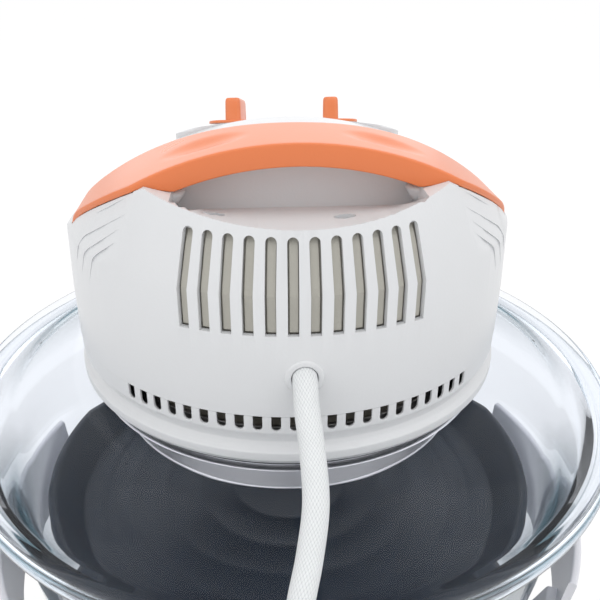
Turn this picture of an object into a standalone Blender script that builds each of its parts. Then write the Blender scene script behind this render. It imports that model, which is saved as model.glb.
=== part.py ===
"""Countertop halogen oven: a glass bowl in a handled stand, a lift-off glass lid and a round heater head
with an arched carry handle, two knobs, a fan and a halogen ring. Metres, +Z up, front toward -Y."""
import math

import bmesh
import bpy
from mathutils import Matrix, Vector

TURN = 2 * math.pi

# Shared clearances, walls and counts
GAP = 0.0003
SLIDE_GAP = 0.0006
OVERRUN = 0.002
MERGE = 0.00001
SHELL_WALL = 0.0026
SHARP_ANGLE = math.radians(32)
GLASS_STEPS = 40
HEAD_STEPS = 56
SMALL_STEPS = 12
ROUND_STEPS = 3

# Glass bowl
RIM_RADIUS = 0.165
BOWL_WALL = 0.0045
BOWL_RIM_WIDTH = 0.014
BOWL_NECK_RADIUS = RIM_RADIUS - BOWL_RIM_WIDTH
BOWL_FLARE = 0.005
BOWL_MID_RADIUS = BOWL_NECK_RADIUS - BOWL_FLARE
BOWL_TAPER = 0.010
BOWL_LOW_RADIUS = BOWL_MID_RADIUS - BOWL_TAPER
BOWL_CURVE = 0.032
BOWL_BASE_RADIUS = BOWL_LOW_RADIUS - BOWL_CURVE
BOWL_LOW_HEIGHT = 0.045
BOWL_MID_HEIGHT = 0.100
BOWL_RIM_TOP = 0.168
BOWL_NECK_DROP = 0.010
BOWL_NECK_HEIGHT = BOWL_RIM_TOP - BOWL_NECK_DROP
BOWL_RIM_THICK = 0.0075

# Stand, feet and side handles
FOOT_HEIGHT = 0.003
FOOT_RADIUS = 0.009
FOOT_CIRCLE = 0.107
FOOT_COUNT = 4
STAND_RADIUS = 0.128
STAND_BORE = 0.085
STAND_FLOOR = 0.012
CUP_HEIGHT = 0.024
CUP_WALL = 0.006
GRIP_BOTTOM = 0.054
GRIP_TOP = 0.094
GRIP_STANDOFF = 0.012
GRIP_RADIUS = BOWL_MID_RADIUS + GRIP_STANDOFF
GRIP_FLARE = 0.005
GRIP_WALL = 0.004
GRIP_SPAN = math.radians(56)
GRIP_TURN = math.radians(5)
GRIP_STEPS = 14
ARM_SPAN = math.radians(6)
ARM_RISE = 0.012

# Glass lid
LID_GAP = 0.0005
LID_BEAD_INSET = 0.0013
LID_BEAD_RADIUS = RIM_RADIUS - LID_BEAD_INSET
LID_BEAD_HEIGHT = 0.0065
LID_BEAD_TOP = BOWL_RIM_TOP + LID_BEAD_HEIGHT
LID_BEAD_WIDTH = 0.0097
LID_VALLEY_RADIUS = LID_BEAD_RADIUS - LID_BEAD_WIDTH
LID_VALLEY_DEPTH = 0.002
LID_VALLEY_HEIGHT = LID_BEAD_TOP - LID_VALLEY_DEPTH
LID_STEP_CLEAR = 0.001
LID_STEP_RADIUS = BOWL_NECK_RADIUS - BOWL_WALL - LID_STEP_CLEAR
LID_STEP_DEPTH = 0.0065
LID_WALL = 0.0045
LID_HOLE_RADIUS = 0.096
LID_CROWN = 0.187

# Gasket and lower ring of the head
RING_LOW_HEIGHT = 0.1892
GASKET_WIDTH = 0.004
RING_LOW_RADIUS = 0.1016
RING_BAND_RADIUS = 0.1035
RING_BAND_TOP = 0.1945
RING_GROOVE_RADIUS = 0.0997
RING_GROOVE_HEIGHT = 0.1993
RING_RADIUS = 0.1027
RING_TOP = 0.2126
RING_WALL = 0.0026
RING_FLANGE_RADIUS = 0.0912
RING_FLANGE_THICK = 0.0025
NOTCH_WIDTH = 0.0038
NOTCH_DEPTH = 0.0067
NOTCH_PITCH = math.radians(4.1)
NOTCH_COUNT = 21

# Upper housing
HEAD_RADIUS = 0.103
HEAD_BOTTOM = RING_TOP + GAP
CREASE_RISE = 0.0519
CREASE_HEIGHT = RING_TOP + CREASE_RISE
CONE_SLOPE_SHARE = 0.4
ARCH_RADIUS = 0.1355
ARCH_DROP = 0.0933
ARCH_BASE_HEIGHT = CREASE_HEIGHT - ARCH_DROP
DOME_TILT = math.radians(15)
SMILE_RISE = 0.0209
SMILE_HEIGHT = CREASE_HEIGHT + SMILE_RISE
TROUGH_RADIUS = 0.185
WELL_HALF = 0.046
WELL_BACK = 0.052
WELL_DROP = 0.0059
WELL_LEDGE = SMILE_HEIGHT - WELL_DROP
HORN_INNER = 0.062
TROUGH_AXIS_HEIGHT = SMILE_HEIGHT + TROUGH_RADIUS
TROUGH_HALF = 0.072
TROUGH_COLUMNS = 12
WELL_COLUMNS = 6
DOME_COLUMNS = 24
HEAD_ROOM = 0.0088
HEAD_TOP = ARCH_BASE_HEIGHT + ARCH_RADIUS + HEAD_ROOM
ROOM_DROP = 0.014
ROOM_TOP = CREASE_HEIGHT - ROOM_DROP
FRONT_ROOM_HALF = 0.056
FRONT_ROOM_END = -0.072
LOFT_HALF = 0.055
LOFT_RISE = 0.0031
LOFT_TOP = SMILE_HEIGHT + LOFT_RISE
ATTIC_RADIUS = 0.090
CHANNEL_DROP = 0.0039
CHANNEL_TOP = SMILE_HEIGHT - CHANNEL_DROP
ROOF_WALL = 0.004
CAVITY_DROP = 0.0099
CAVITY_TOP = SMILE_HEIGHT - CAVITY_DROP
CAVITY_RADIUS = HEAD_RADIUS - SHELL_WALL

# Louvre slots and the vanes behind them
SLOT_COUNT = 12
SLOT_PITCH = math.radians(4.3)
SLOT_WIDTH = 0.0041
SLOT_DROP = 0.0165
SLOT_BOTTOM = CREASE_HEIGHT - SLOT_DROP
SLOT_REST = 0.0031
SLOT_TOP = SMILE_HEIGHT - SLOT_REST
SLOT_TOP_RISE = 0.003
VANE_STEPS = 14
VANE_GAP = 0.0008
VANE_THICK = 0.0016
VANE_INSET = 0.0010

# Carry handle, its pivots and its switch
HANDLE_BACK = 0.0665
HANDLE_TOP_RADIUS = 0.138
HANDLE_FRONT = 0.032
HANDLE_SIDE_FRONT = 0.013
HANDLE_THICK = 0.0092
HANDLE_THIN = 0.0026
LUG_HALF = 0.0478
BAND_END = 0.0595
PIVOT_Y = -0.005
PIVOT_DROP = 0.0165
PIVOT_Z = CREASE_HEIGHT - PIVOT_DROP
PIVOT_BOSS = 0.011
PIVOT_PIN_RADIUS = 0.0035
PIN_HEAD_RADIUS = 0.0055
ARM_OUTER = 0.101
ARM_INNER = 0.0976
POCKET_FLOOR = 0.0968
ARM_NECK_BACK = 0.021
ARM_NECK_FRONT = 0.013
HANDLE_STEPS = 28
HANDLE_PROUD = 0.002
HANDLE_TAPER = 0.084
HANDLE_BOW = 0.022
PIN_DEPTH = 0.0022
PLUNGER_RADIUS = 0.002
PLUNGER_X = -0.036
PLUNGER_Y = 0.040
PLUNGER_REACH = 0.009
SWITCH_HALF = 0.010
SWITCH_DEPTH = 0.012
SWITCH_HEIGHT = 0.016
PLUNGER_PROUD = 0.0095
PLUNGER_TOP = LOFT_TOP + PLUNGER_PROUD

# Control panel and knobs
PANEL_REAR = 0.010
PANEL_FRONT = -0.076
PANEL_HALF = 0.047
PANEL_BASE_HALF = 0.051
PANEL_DROP = 0.0013
PANEL_REAR_HEIGHT = ARCH_BASE_HEIGHT + ARCH_RADIUS - PANEL_DROP
PANEL_CROWN = 0.0041
PANEL_SLOPE_SHARE = 0.263
PANEL_CORNER = 0.010
PANEL_DEPTH = 0.014
PANEL_EDGE = 0.0015
CROWN_STEPS = 6
ROOF_BELOW_PANEL = 0.004
LENS_RADIUS = 0.0025
LENS_DEPTH = 0.003
LENS_Y = -0.014
KNOB_CLEAR = 0.0008
SHAFT_REACH = 0.009
BLADE_TOP_SHARE = 0.86
KNOB_X = 0.024
KNOB_Y = -0.038
SKIRT_RADIUS = 0.0137
SKIRT_HEIGHT = 0.0018
KNOB_HEIGHT = 0.013
BLADE_WIDTH = 0.0078
SHAFT_RADIUS = 0.003
TIMER_TURN = math.radians(-7)
THERMOSTAT_TURN = math.radians(-6)

# Heater shroud, clamp ring, guard, lamp and reflector
SHROUD_RADIUS = 0.0904
SHROUD_BOTTOM = 0.165
SHROUD_TOP = 0.1985
SHROUD_LIP = 0.006
SHROUD_WALL = 0.0012
CLAMP_THICK = 0.0020
CLAMP_RADIUS = 0.1005
CLAMP_WALL = 0.0040
SCREW_COUNT = 4
SCREW_RADIUS = 0.0012
SCREW_HEAD = 0.0020
SCREW_DEPTH = 0.004
GUARD_WIRE = 0.0009
GUARD_RECESS = 0.0025
GUARD_HEIGHT = SHROUD_BOTTOM + GUARD_RECESS
LAMP_RADIUS = 0.062
LAMP_TUBE = 0.005
LAMP_STANDOFF = 0.009
LAMP_HEIGHT = GUARD_HEIGHT + LAMP_STANDOFF
LAMP_OPENING = math.radians(34)
LAMP_STEPS = 24
CAP_SHARE = 1.3
GUARD_SPOKES = 3
GUARD_HOOPS = 3
SHEET = 0.001
INSULATION_THICK = 0.003

# Fan, motor and bracket
SHAFT_TOP = 0.240
FAN_SHAFT_RADIUS = 0.0025
HOT_FAN_HEIGHT = 0.1835
HOT_FAN_RADIUS = 0.048
COOL_FAN_HEIGHT = 0.2315
FAN_RISE = 0.0065
COOL_FAN_RADIUS = 0.046
BLADE_THICK = 0.0009
HUB_RADIUS = 0.008
FAN_BLADES = 7
FAN_SWEEP = math.radians(-22)
MOTOR_HALF = 0.026
MOTOR_BOTTOM = 0.2105
MOTOR_TOP = 0.2265
MOTOR_REACH = 0.040
MOTOR_LEG = 0.008
ROTOR_RADIUS = 0.0115
BEARING_RADIUS = 0.016
BEARING_HEIGHT = 0.0027
COIL_OVERHANG = 0.005
BRACKET_HEIGHT = 0.203
BRACKET_HALF = 0.020
BRACKET_THICK = 0.0015
CUTOUT_RADIUS = 0.008
CUTOUT_HEIGHT = 0.006
CUTOUT_Y = 0.060
BODY_RADIUS = 0.017
BODY_HEIGHT = 0.020

# Power cord, coil and plug
CORD_RADIUS = 0.00475
BUSH_RADIUS = 0.0075
CORD_EXIT_HEIGHT = 0.2305
COIL_RADIUS = 0.052
COIL_STEP = 0.0115
COIL_RISE = 0.0100
COIL_TURNS = 1.125
COIL_POINTS = 24
COIL_X = -0.050
COIL_Y = 0.296
CORD_POINTS = 44
FINE_STEPS = 12
BLOCK_HALF = 0.012
BLOCK_DEPTH = 0.010
CORD_ROUTE = ((0, 0.1035, 0.2303), (0, 0.1140, 0.2235), (-0.001, 0.1240, 0.2145), (-0.001, 0.1400, 0.2040),
              (0.002, 0.1520, 0.1920), (0.006, 0.1635, 0.1822), (0.008, 0.1712, 0.1690), (0.009, 0.1735, 0.1400),
              (0.010, 0.1740, 0.0900), (0.009, 0.1790, 0.0480), (0.008, 0.1930, 0.0180), (0.007, 0.2200, 0.0066))
TIE_THICK = 0.0012
TIE_WIDTH = 0.006
PLUG_LENGTH = 0.040
PLUG_NECK = 0.012
PLUG_LEAD = 0.078
PLUG_PIN_LENGTH = 0.019
PLUG_PIN_RADIUS = 0.0024
PLUG_PIN_SPREAD = 0.0095

# Pan and rack
PAN_CLEAR = 0.013
PAN_RIM_RADIUS = BOWL_MID_RADIUS - PAN_CLEAR
PAN_RIM_HEIGHT = 0.111
PAN_RIM_WIDTH = 0.005
PAN_SPREAD = 0.018
PAN_FLOOR_RADIUS = PAN_RIM_RADIUS - PAN_SPREAD
PAN_FLOOR_HEIGHT = 0.0915
PAN_WALL = 0.0016
PAN_RING_SHARES = (0.8, 0.45)
RACK_WIRE = 0.002
RACK_INSET = 0.023
RACK_RADIUS = PAN_FLOOR_RADIUS - RACK_INSET
RACK_COUNT = 5


def paint(name, color, roughness, metallic=0.0, alpha=1.0):
    """A Principled material in the piece's own colour."""
    look = bpy.data.materials.new(name)
    look.use_nodes = True
    shader = look.node_tree.nodes["Principled BSDF"]
    shader.inputs["Base Color"].default_value = (*color, 1.0)
    shader.inputs["Roughness"].default_value = roughness
    shader.inputs["Metallic"].default_value = metallic
    shader.inputs["Alpha"].default_value = alpha
    return look


def finish(name, bm, look, place=None):
    """Turn a bmesh into a named, smooth-shaded object, moved by the matrix if there is one."""
    bmesh.ops.remove_doubles(bm, verts=bm.verts, dist=MERGE)
    if place is not None:
        bmesh.ops.transform(bm, matrix=place, verts=bm.verts)
    bmesh.ops.recalc_face_normals(bm, faces=bm.faces)
    mesh = bpy.data.meshes.new(name)
    bm.to_mesh(mesh)
    bm.free()
    mesh.shade_smooth()
    mesh.set_sharp_from_angle(angle=SHARP_ANGLE)
    piece = bpy.data.objects.new(name, mesh)
    bpy.context.collection.objects.link(piece)
    if look is None:
        piece.hide_render = True
        piece.display_type = "WIRE"
    else:
        mesh.materials.append(look)
    return piece


def lathe(bm, outline, steps, start=0, sweep=TURN):
    """Turn a closed outline of (radius, height) points about the vertical axis."""
    whole = sweep == TURN
    count = steps if whole else steps + 1
    rings = []
    for index in range(count):
        angle = start + sweep * index / steps
        rings.append([bm.verts.new((r * math.cos(angle), r * math.sin(angle), z)) for r, z in outline])
    for index in range(steps):
        near = rings[index]
        far = rings[(index + 1) % count]
        for k in range(len(outline)):
            m = (k + 1) % len(outline)
            bm.faces.new((near[k], near[m], far[m], far[k]))
    if not whole:
        bm.faces.new(rings[0])
        bm.faces.new(rings[-1])


def loft(bm, sections, twisted=False):
    """Join like loops of points into one skin, capped at both ends. Twisted faces are split one set way."""
    loops = [[bm.verts.new(point) for point in section] for section in sections]
    size = len(loops[0])
    for near, far in zip(loops, loops[1:]):
        for k in range(size):
            m = (k + 1) % size
            if twisted:
                bm.faces.new((near[k], near[m], far[m]))
                bm.faces.new((near[k], far[m], far[k]))
            else:
                bm.faces.new((near[k], near[m], far[m], far[k]))
    bm.faces.new(loops[0])
    bm.faces.new(loops[-1])


def prism(bm, outline, low, high):
    """Raise a flat outline of (x, y) points from one height to another."""
    loft(bm, [[(x, y, height) for x, y in outline] for height in (low, high)])


def turned(name, outline, look, steps=HEAD_STEPS, place=None):
    bm = bmesh.new()
    lathe(bm, outline, steps)
    return finish(name, bm, look, place)


def raised(name, outline, low, high, look, place=None):
    bm = bmesh.new()
    prism(bm, outline, low, high)
    return finish(name, bm, look, place)


def circle(radius, steps=SMALL_STEPS, x=0, y=0):
    angles = [TURN * (k + 1 / 2) / steps for k in range(steps)]
    return [(x + radius * math.cos(angle), y + radius * math.sin(angle)) for angle in angles]


def rectangle(left, right, front, back):
    return [(left, front), (right, front), (right, back), (left, back)]


def rounded(left, right, front, back, radius, steps=ROUND_STEPS):
    """A rectangle with round corners, counterclockwise."""
    corners = ((right, back, 0), (left, back, 1), (left, front, 2), (right, front, 3))
    points = []
    for x, y, quarter in corners:
        cx = x - math.copysign(radius, x - (left + right) / 2)
        cy = y - math.copysign(radius, y - (front + back) / 2)
        for k in range(steps + 1):
            angle = TURN / 4 * (quarter + k / steps)
            points.append((cx + radius * math.cos(angle), cy + radius * math.sin(angle)))
    return points


def arc(r, z, radius, first, last, steps=ROUND_STEPS):
    """Points of an arc in the radius and height plane, between two angles in degrees."""
    points = []
    for k in range(steps + 1):
        angle = math.radians(first + (last - first) * k / steps)
        points.append((r + radius * math.cos(angle), z + radius * math.sin(angle)))
    return points


def boolean(piece, other, operation="DIFFERENCE"):
    change = piece.modifiers.new(operation.lower(), "BOOLEAN")
    change.operation = operation
    change.solver = "EXACT"
    change.object = other


def bake(piece):
    """Replace the mesh by what its modifiers make of it, and free the tools."""
    tools = [change.object for change in piece.modifiers if change.type == "BOOLEAN"]
    graph = bpy.context.evaluated_depsgraph_get()
    mesh = bpy.data.meshes.new_from_object(piece.evaluated_get(graph))
    piece.modifiers.clear()
    piece.data = mesh
    for tool in tools:
        if tool.name in bpy.data.objects:
            bpy.data.objects.remove(tool)
    mesh.shade_smooth()
    mesh.set_sharp_from_angle(angle=SHARP_ANGLE)
    return piece


def turn_z(angle):
    return Matrix.Rotation(angle, 4, "Z")


def cone_radius(height):
    """The head's outer radius at a height: a cylinder up to the crease and a cone above it."""
    return HEAD_RADIUS - CONE_SLOPE_SHARE * max(0, height - CREASE_HEIGHT)


def arch_height(x, radius=ARCH_RADIUS):
    return ARCH_BASE_HEIGHT + math.sqrt(radius * radius - x * x)


def panel_height(x, y):
    """The crowned, sloping top of the control panel."""
    crown = PANEL_CROWN * (x / PANEL_HALF) ** 2
    return PANEL_REAR_HEIGHT - PANEL_SLOPE_SHARE * (PANEL_REAR - y) - crown


for leftover in list(bpy.data.objects):
    bpy.data.objects.remove(leftover)

WHITE = paint("white_plastic", (0.86, 0.87, 0.88), 0.35)
VANE_GREY = paint("vane_grey", (0.55, 0.54, 0.49), 0.55)
ORANGE = paint("orange_plastic", (0.80, 0.32, 0.13), 0.38)
GLASS = paint("clear_glass", (0.80, 0.88, 0.87), 0.05, alpha=0.3)
RUBBER = paint("dark_rubber", (0.05, 0.05, 0.05), 0.8)
STEEL = paint("bright_steel", (0.72, 0.72, 0.70), 0.25, 1.0)
DARK_STEEL = paint("dark_steel", (0.30, 0.30, 0.30), 0.45, 1.0)
NONSTICK = paint("nonstick_coating", (0.05, 0.055, 0.065), 0.4, 0.2)
COPPER = paint("copper_winding", (0.72, 0.32, 0.14), 0.35, 1.0)
QUARTZ = paint("frosted_quartz", (0.90, 0.86, 0.78), 0.3)
CERAMIC = paint("white_ceramic", (0.85, 0.83, 0.78), 0.6)
MICA = paint("grey_board", (0.45, 0.43, 0.38), 0.85)
ALUMINIUM = paint("plain_aluminium", (0.78, 0.78, 0.78), 0.35, 1.0)
BRAID = paint("white_braid", (0.82, 0.83, 0.84), 0.8)
BLACK_PLASTIC = paint("black_plastic", (0.04, 0.04, 0.045), 0.45)
BRASS = paint("plug_brass", (0.75, 0.58, 0.28), 0.3, 1.0)
LENS = paint("amber_lens", (0.85, 0.35, 0.08), 0.2)


def build_stand():
    """Moulded ring with a cup for the bowl and two arms that carry curved side grips."""
    seat = [(r + GAP * 2, z - GAP) for r, z in bowl_outline(0)[1:4]]
    share = (CUP_HEIGHT - seat[1][1]) / (seat[2][1] - seat[1][1])
    lip = seat[1][0] + (seat[2][0] - seat[1][0]) * share
    outline = [(STAND_BORE, FOOT_HEIGHT), (STAND_RADIUS, FOOT_HEIGHT), (lip + CUP_WALL, CUP_HEIGHT),
               (lip, CUP_HEIGHT), seat[1], seat[0], (STAND_BORE, seat[0][1])]
    stand = turned("base_stand", outline, WHITE, GLASS_STEPS)
    for side in (0, math.pi):
        start = side + GRIP_TURN * (1 if side == 0 else -1) - GRIP_SPAN / 2
        grip = bmesh.new()
        lathe(grip, [(GRIP_RADIUS - GRIP_WALL, GRIP_BOTTOM), (GRIP_RADIUS, GRIP_BOTTOM),
                     (GRIP_RADIUS + GRIP_FLARE, GRIP_TOP), (GRIP_RADIUS + GRIP_FLARE - GRIP_WALL, GRIP_TOP)],
              GRIP_STEPS, start, GRIP_SPAN)
        boolean(stand, finish("grip", grip, None), "UNION")
        for end in (start + ARM_SPAN / 4, start + GRIP_SPAN - ARM_SPAN * 5 / 4):
            arm = bmesh.new()
            foot = lip + CUP_WALL / 2
            lathe(arm, [(STAND_RADIUS - CUP_WALL, STAND_FLOOR / 2), (STAND_RADIUS + CUP_WALL / 3, STAND_FLOOR / 2),
                        (GRIP_RADIUS - GRIP_WALL / 3, GRIP_BOTTOM - ARM_RISE / 2),
                        (GRIP_RADIUS - GRIP_WALL / 3, GRIP_BOTTOM + ARM_RISE),
                        (GRIP_RADIUS - GRIP_WALL * 2, GRIP_BOTTOM + ARM_RISE),
                        (foot, CUP_HEIGHT - CUP_WALL / 2)], 2, end, ARM_SPAN)
            boolean(stand, finish("arm", arm, None), "UNION")
    bake(stand)
    for index in range(FOOT_COUNT):
        angle = TURN * (index + 1 / 2) / FOOT_COUNT
        x = FOOT_CIRCLE * math.cos(angle)
        y = FOOT_CIRCLE * math.sin(angle)
        foot = circle(FOOT_RADIUS, SMALL_STEPS, x, y)
        raised(f"stand_foot_{index + 1}", foot, 0, FOOT_HEIGHT - GAP, RUBBER)


def bowl_outline(inset):
    """The bowl's wall from the base's middle to the neck, moved inward by the inset."""
    low = STAND_FLOOR + inset
    return [(0, low), (BOWL_BASE_RADIUS - inset / 2, low),
            ((BOWL_BASE_RADIUS + BOWL_LOW_RADIUS) / 2 - inset * 3 / 4, low + BOWL_LOW_HEIGHT / 8),
            (BOWL_LOW_RADIUS - BOWL_WALL - inset, BOWL_LOW_HEIGHT * 2 / 3),
            (BOWL_LOW_RADIUS - inset, BOWL_LOW_HEIGHT), (BOWL_MID_RADIUS - inset, BOWL_MID_HEIGHT),
            (BOWL_NECK_RADIUS - inset, BOWL_NECK_HEIGHT)]


def build_bowl():
    """Pressed glass bowl with a thick rounded rim."""
    bead = BOWL_RIM_THICK / 2
    middle = BOWL_RIM_TOP - bead
    outer = bowl_outline(0)
    inner = bowl_outline(BOWL_WALL)[:-1] + [(BOWL_NECK_RADIUS - BOWL_WALL, BOWL_RIM_TOP)]
    rim = arc(RIM_RADIUS - bead, middle, bead, -90, 90, ROUND_STEPS + 1)
    turned("glass_bowl", outer + rim + list(reversed(inner)), GLASS, GLASS_STEPS)


def build_lid():
    """Pressed glass lid: a bead on the bowl's rim, a locating step inside it and a low dome."""
    low = BOWL_RIM_TOP + LID_GAP
    bead = (LID_BEAD_TOP - low) / 2
    outer = arc(LID_BEAD_RADIUS - bead, low + bead, bead, -90, 90, ROUND_STEPS + 1)
    rise = LID_CROWN - LID_VALLEY_HEIGHT
    run = LID_VALLEY_RADIUS - LID_HOLE_RADIUS
    top = [(LID_VALLEY_RADIUS, LID_VALLEY_HEIGHT), (LID_VALLEY_RADIUS - run / 6, LID_VALLEY_HEIGHT + rise / 8),
           (LID_VALLEY_RADIUS - run / 3, LID_VALLEY_HEIGHT + rise / 2),
           (LID_VALLEY_RADIUS - run * 2 / 3, LID_CROWN - rise / 8), (LID_HOLE_RADIUS + LID_WALL / 2, LID_CROWN)]
    hole = [(LID_HOLE_RADIUS, LID_CROWN - LID_WALL / 2), (LID_HOLE_RADIUS + LID_WALL / 2, LID_CROWN - LID_WALL)]
    under = [(LID_VALLEY_RADIUS - run * 2 / 3, LID_CROWN - rise / 8 - LID_WALL),
             (LID_VALLEY_RADIUS - run / 3 - LID_WALL / 2, LID_VALLEY_HEIGHT + rise / 2 - LID_WALL),
             (LID_STEP_RADIUS - LID_WALL, low - LID_STEP_DEPTH), (LID_STEP_RADIUS, low - LID_STEP_DEPTH),
             (LID_STEP_RADIUS, low)]
    turned("glass_lid", outer + top + hole + under, GLASS, GLASS_STEPS)


def build_pan():
    """Spun pan with a rolled rim band, a sloped wall and low raised rings on its floor."""
    top = PAN_RIM_HEIGHT
    floor = PAN_FLOOR_HEIGHT
    inner = [(PAN_RIM_RADIUS - PAN_RIM_WIDTH, top - PAN_WALL), (PAN_FLOOR_RADIUS + PAN_WALL, floor + PAN_WALL),
             (PAN_FLOOR_RADIUS - PAN_WALL, floor)]
    rings = []
    for share in PAN_RING_SHARES:
        centre = PAN_FLOOR_RADIUS * share
        rings += [(centre + PAN_WALL * 3, floor), (centre, floor + PAN_WALL / 2), (centre - PAN_WALL * 3, floor)]
    below = [(0, floor), (0, floor - PAN_WALL), (PAN_FLOOR_RADIUS, floor - PAN_WALL),
             (PAN_FLOOR_RADIUS + PAN_WALL * 2, floor), (PAN_RIM_RADIUS - PAN_RIM_WIDTH, top - PAN_WALL * 3)]
    rim = [(PAN_RIM_RADIUS, top - PAN_WALL * 5 / 2), (PAN_RIM_RADIUS, top - PAN_WALL / 2),
           (PAN_RIM_RADIUS - PAN_WALL, top), (PAN_RIM_RADIUS - PAN_RIM_WIDTH + PAN_WALL, top)]
    turned("nonstick_pan", rim + inner + rings + below, NONSTICK, GLASS_STEPS)


def rod(bm, start, end, radius, steps=5):
    """A round bar between two points."""
    start = Vector(start)
    end = Vector(end)
    across = (end - start).to_track_quat("Z", "Y").to_matrix()
    sections = []
    for point in (start, end):
        sections.append([point + across @ Vector((x, y, 0)) for x, y in circle(radius, steps)])
    loft(bm, sections)


def hoop(bm, radius, height, wire, steps=24, sides=4):
    """A round wire ring lying flat."""
    lathe(bm, arc(radius, height, wire, 0, 360 * (sides - 1) / sides, sides - 1), steps)


def build_rack():
    """Low wire rack on four legs that carries the pan above the bowl's floor."""
    level = PAN_FLOOR_HEIGHT - PAN_WALL - GAP - RACK_WIRE
    bm = bmesh.new()
    hoop(bm, RACK_RADIUS, level, RACK_WIRE)
    rack = finish("low_rack", bm, STEEL)
    for index in range(RACK_COUNT):
        y = RACK_RADIUS * (index - (RACK_COUNT - 1) / 2) / (RACK_COUNT / 2 + 1 / 4)
        reach = math.sqrt(RACK_RADIUS ** 2 - y * y)
        bar = bmesh.new()
        rod(bar, (-reach, y, level), (reach, y, level), RACK_WIRE * 3 / 4)
        boolean(rack, finish("bar", bar, None), "UNION")
    for index in range(FOOT_COUNT):
        angle = TURN * (index + 1 / 2) / FOOT_COUNT
        x = RACK_RADIUS * math.cos(angle)
        y = RACK_RADIUS * math.sin(angle)
        leg = bmesh.new()
        rod(leg, (x, y, level), (x, y, STAND_FLOOR + BOWL_WALL + GAP), RACK_WIRE * 5 / 6)
        boolean(rack, finish("leg", leg, None), "UNION")
    bake(rack)


def build_ring():
    """Lower ring: a round band, a groove and a row of U vents cut down from its top edge at the back."""
    flange = RING_LOW_HEIGHT + RING_FLANGE_THICK
    inner = RING_RADIUS - RING_WALL
    outline = [(RING_FLANGE_RADIUS, RING_LOW_HEIGHT), (RING_LOW_RADIUS, RING_LOW_HEIGHT),
               (RING_BAND_RADIUS, RING_LOW_HEIGHT + RING_WALL), (RING_BAND_RADIUS, RING_BAND_TOP),
               (RING_GROOVE_RADIUS + RING_WALL / 2, RING_GROOVE_HEIGHT - RING_WALL),
               (RING_GROOVE_RADIUS, RING_GROOVE_HEIGHT),
               (RING_GROOVE_RADIUS + RING_WALL / 2, RING_GROOVE_HEIGHT + RING_WALL),
               (RING_RADIUS, RING_GROOVE_HEIGHT + RING_WALL * 2), (RING_RADIUS, RING_TOP),
               (inner, RING_TOP), (inner, RING_GROOVE_HEIGHT + RING_WALL * 2),
               (RING_GROOVE_RADIUS - RING_WALL, RING_GROOVE_HEIGHT),
               (RING_GROOVE_RADIUS - RING_WALL, flange), (RING_FLANGE_RADIUS, flange)]
    ring = turned("lower_ring", outline, WHITE)
    half = NOTCH_WIDTH / 2
    shape = [(half, RING_TOP + OVERRUN)] + arc(0, RING_TOP - NOTCH_DEPTH + half, half, 0, -180, ROUND_STEPS)
    shape.append((-half, RING_TOP + OVERRUN))
    cutter = bmesh.new()
    for index in range(NOTCH_COUNT):
        angle = TURN / 4 + NOTCH_PITCH * (index - (NOTCH_COUNT - 1) / 2)
        sections = []
        for reach in (inner - OVERRUN, RING_BAND_RADIUS + OVERRUN):
            sections.append([turn_z(angle) @ Vector((reach, side, height)) for side, height in shape])
        loft(cutter, sections)
    boolean(ring, finish("notches", cutter, None))
    bake(ring)


def well_section(x, back, grow):
    """The finger well's outline at one distance from the middle, wide open toward the back and the top."""
    rim = TROUGH_AXIS_HEIGHT - math.sqrt(TROUGH_RADIUS ** 2 - x * x)
    edge = math.sqrt(cone_radius(rim) ** 2 - x * x)
    fall = (rim - WELL_LEDGE) / (edge - back)
    far = HEAD_RADIUS + grow
    sky = HEAD_TOP + grow
    return [(x, back, WELL_LEDGE), (x, far, rim + fall * (far - edge)), (x, far, sky), (x, back, sky)]


def handle_sections(clear=0):
    """Loops across the carry handle from one side to the other, swollen by the clearance where it seats."""
    sections = []
    reach = math.asin(ARM_OUTER / HANDLE_TOP_RADIUS)
    for index in range(HANDLE_STEPS + 1):
        angle = reach * (2 * index / HANDLE_STEPS - 1)
        x = HANDLE_TOP_RADIUS * math.sin(angle)
        z = ARCH_BASE_HEIGHT + HANDLE_TOP_RADIUS * math.cos(angle)
        thick = HANDLE_THIN
        if abs(x) < LUG_HALF:
            thick = HANDLE_THICK
        elif abs(x) < BAND_END:
            thick = HANDLE_THICK + (HANDLE_THIN - HANDLE_THICK) * (abs(x) - LUG_HALF) / (BAND_END - LUG_HALF)
        back = min(HANDLE_BACK, math.sqrt((cone_radius(z) + HANDLE_PROUD) ** 2 - x * x))
        bow = math.hypot(x, HANDLE_BOW) - HANDLE_BOW
        share = min(1, bow / (math.hypot(HANDLE_TAPER, HANDLE_BOW) - HANDLE_BOW))
        front = HANDLE_FRONT + (HANDLE_SIDE_FRONT - HANDLE_FRONT) * share
        outward = Vector((math.sin(angle), 0, math.cos(angle)))
        top = HANDLE_TOP_RADIUS
        edge = HANDLE_THIN / 3
        rows = [(front - clear, top - HANDLE_THIN - clear), (front - clear, top - edge),
                (front + edge, top), (back - edge, top), (back + clear, top - edge),
                (back + clear, top - thick - clear)]
        if clear:
            rows = [rows[0], (front - clear, top + clear), (back + clear, top + clear), rows[-1]]
        centre = Vector((0, 0, ARCH_BASE_HEIGHT))
        sections.append([centre + outward * radius + Vector((0, y, 0)) for y, radius in rows])
    return sections


def arm_outline(grow):
    """Side outline of a handle arm as (y, z): a round boss at the pivot and a neck up to the band."""
    top = ARCH_BASE_HEIGHT + math.sqrt(HANDLE_TOP_RADIUS ** 2 - ARM_OUTER ** 2) + HANDLE_THIN
    boss = PIVOT_BOSS + grow
    points = [(PIVOT_Y + boss * math.cos(math.radians(angle)), PIVOT_Z + boss * math.sin(math.radians(angle)))
              for angle in range(120, 331, 15)]
    return points + [(ARM_NECK_BACK + grow, top - PIVOT_BOSS), (ARM_NECK_BACK + grow, top + grow * 4),
                     (ARM_NECK_FRONT - grow, top + grow * 4)]


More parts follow.
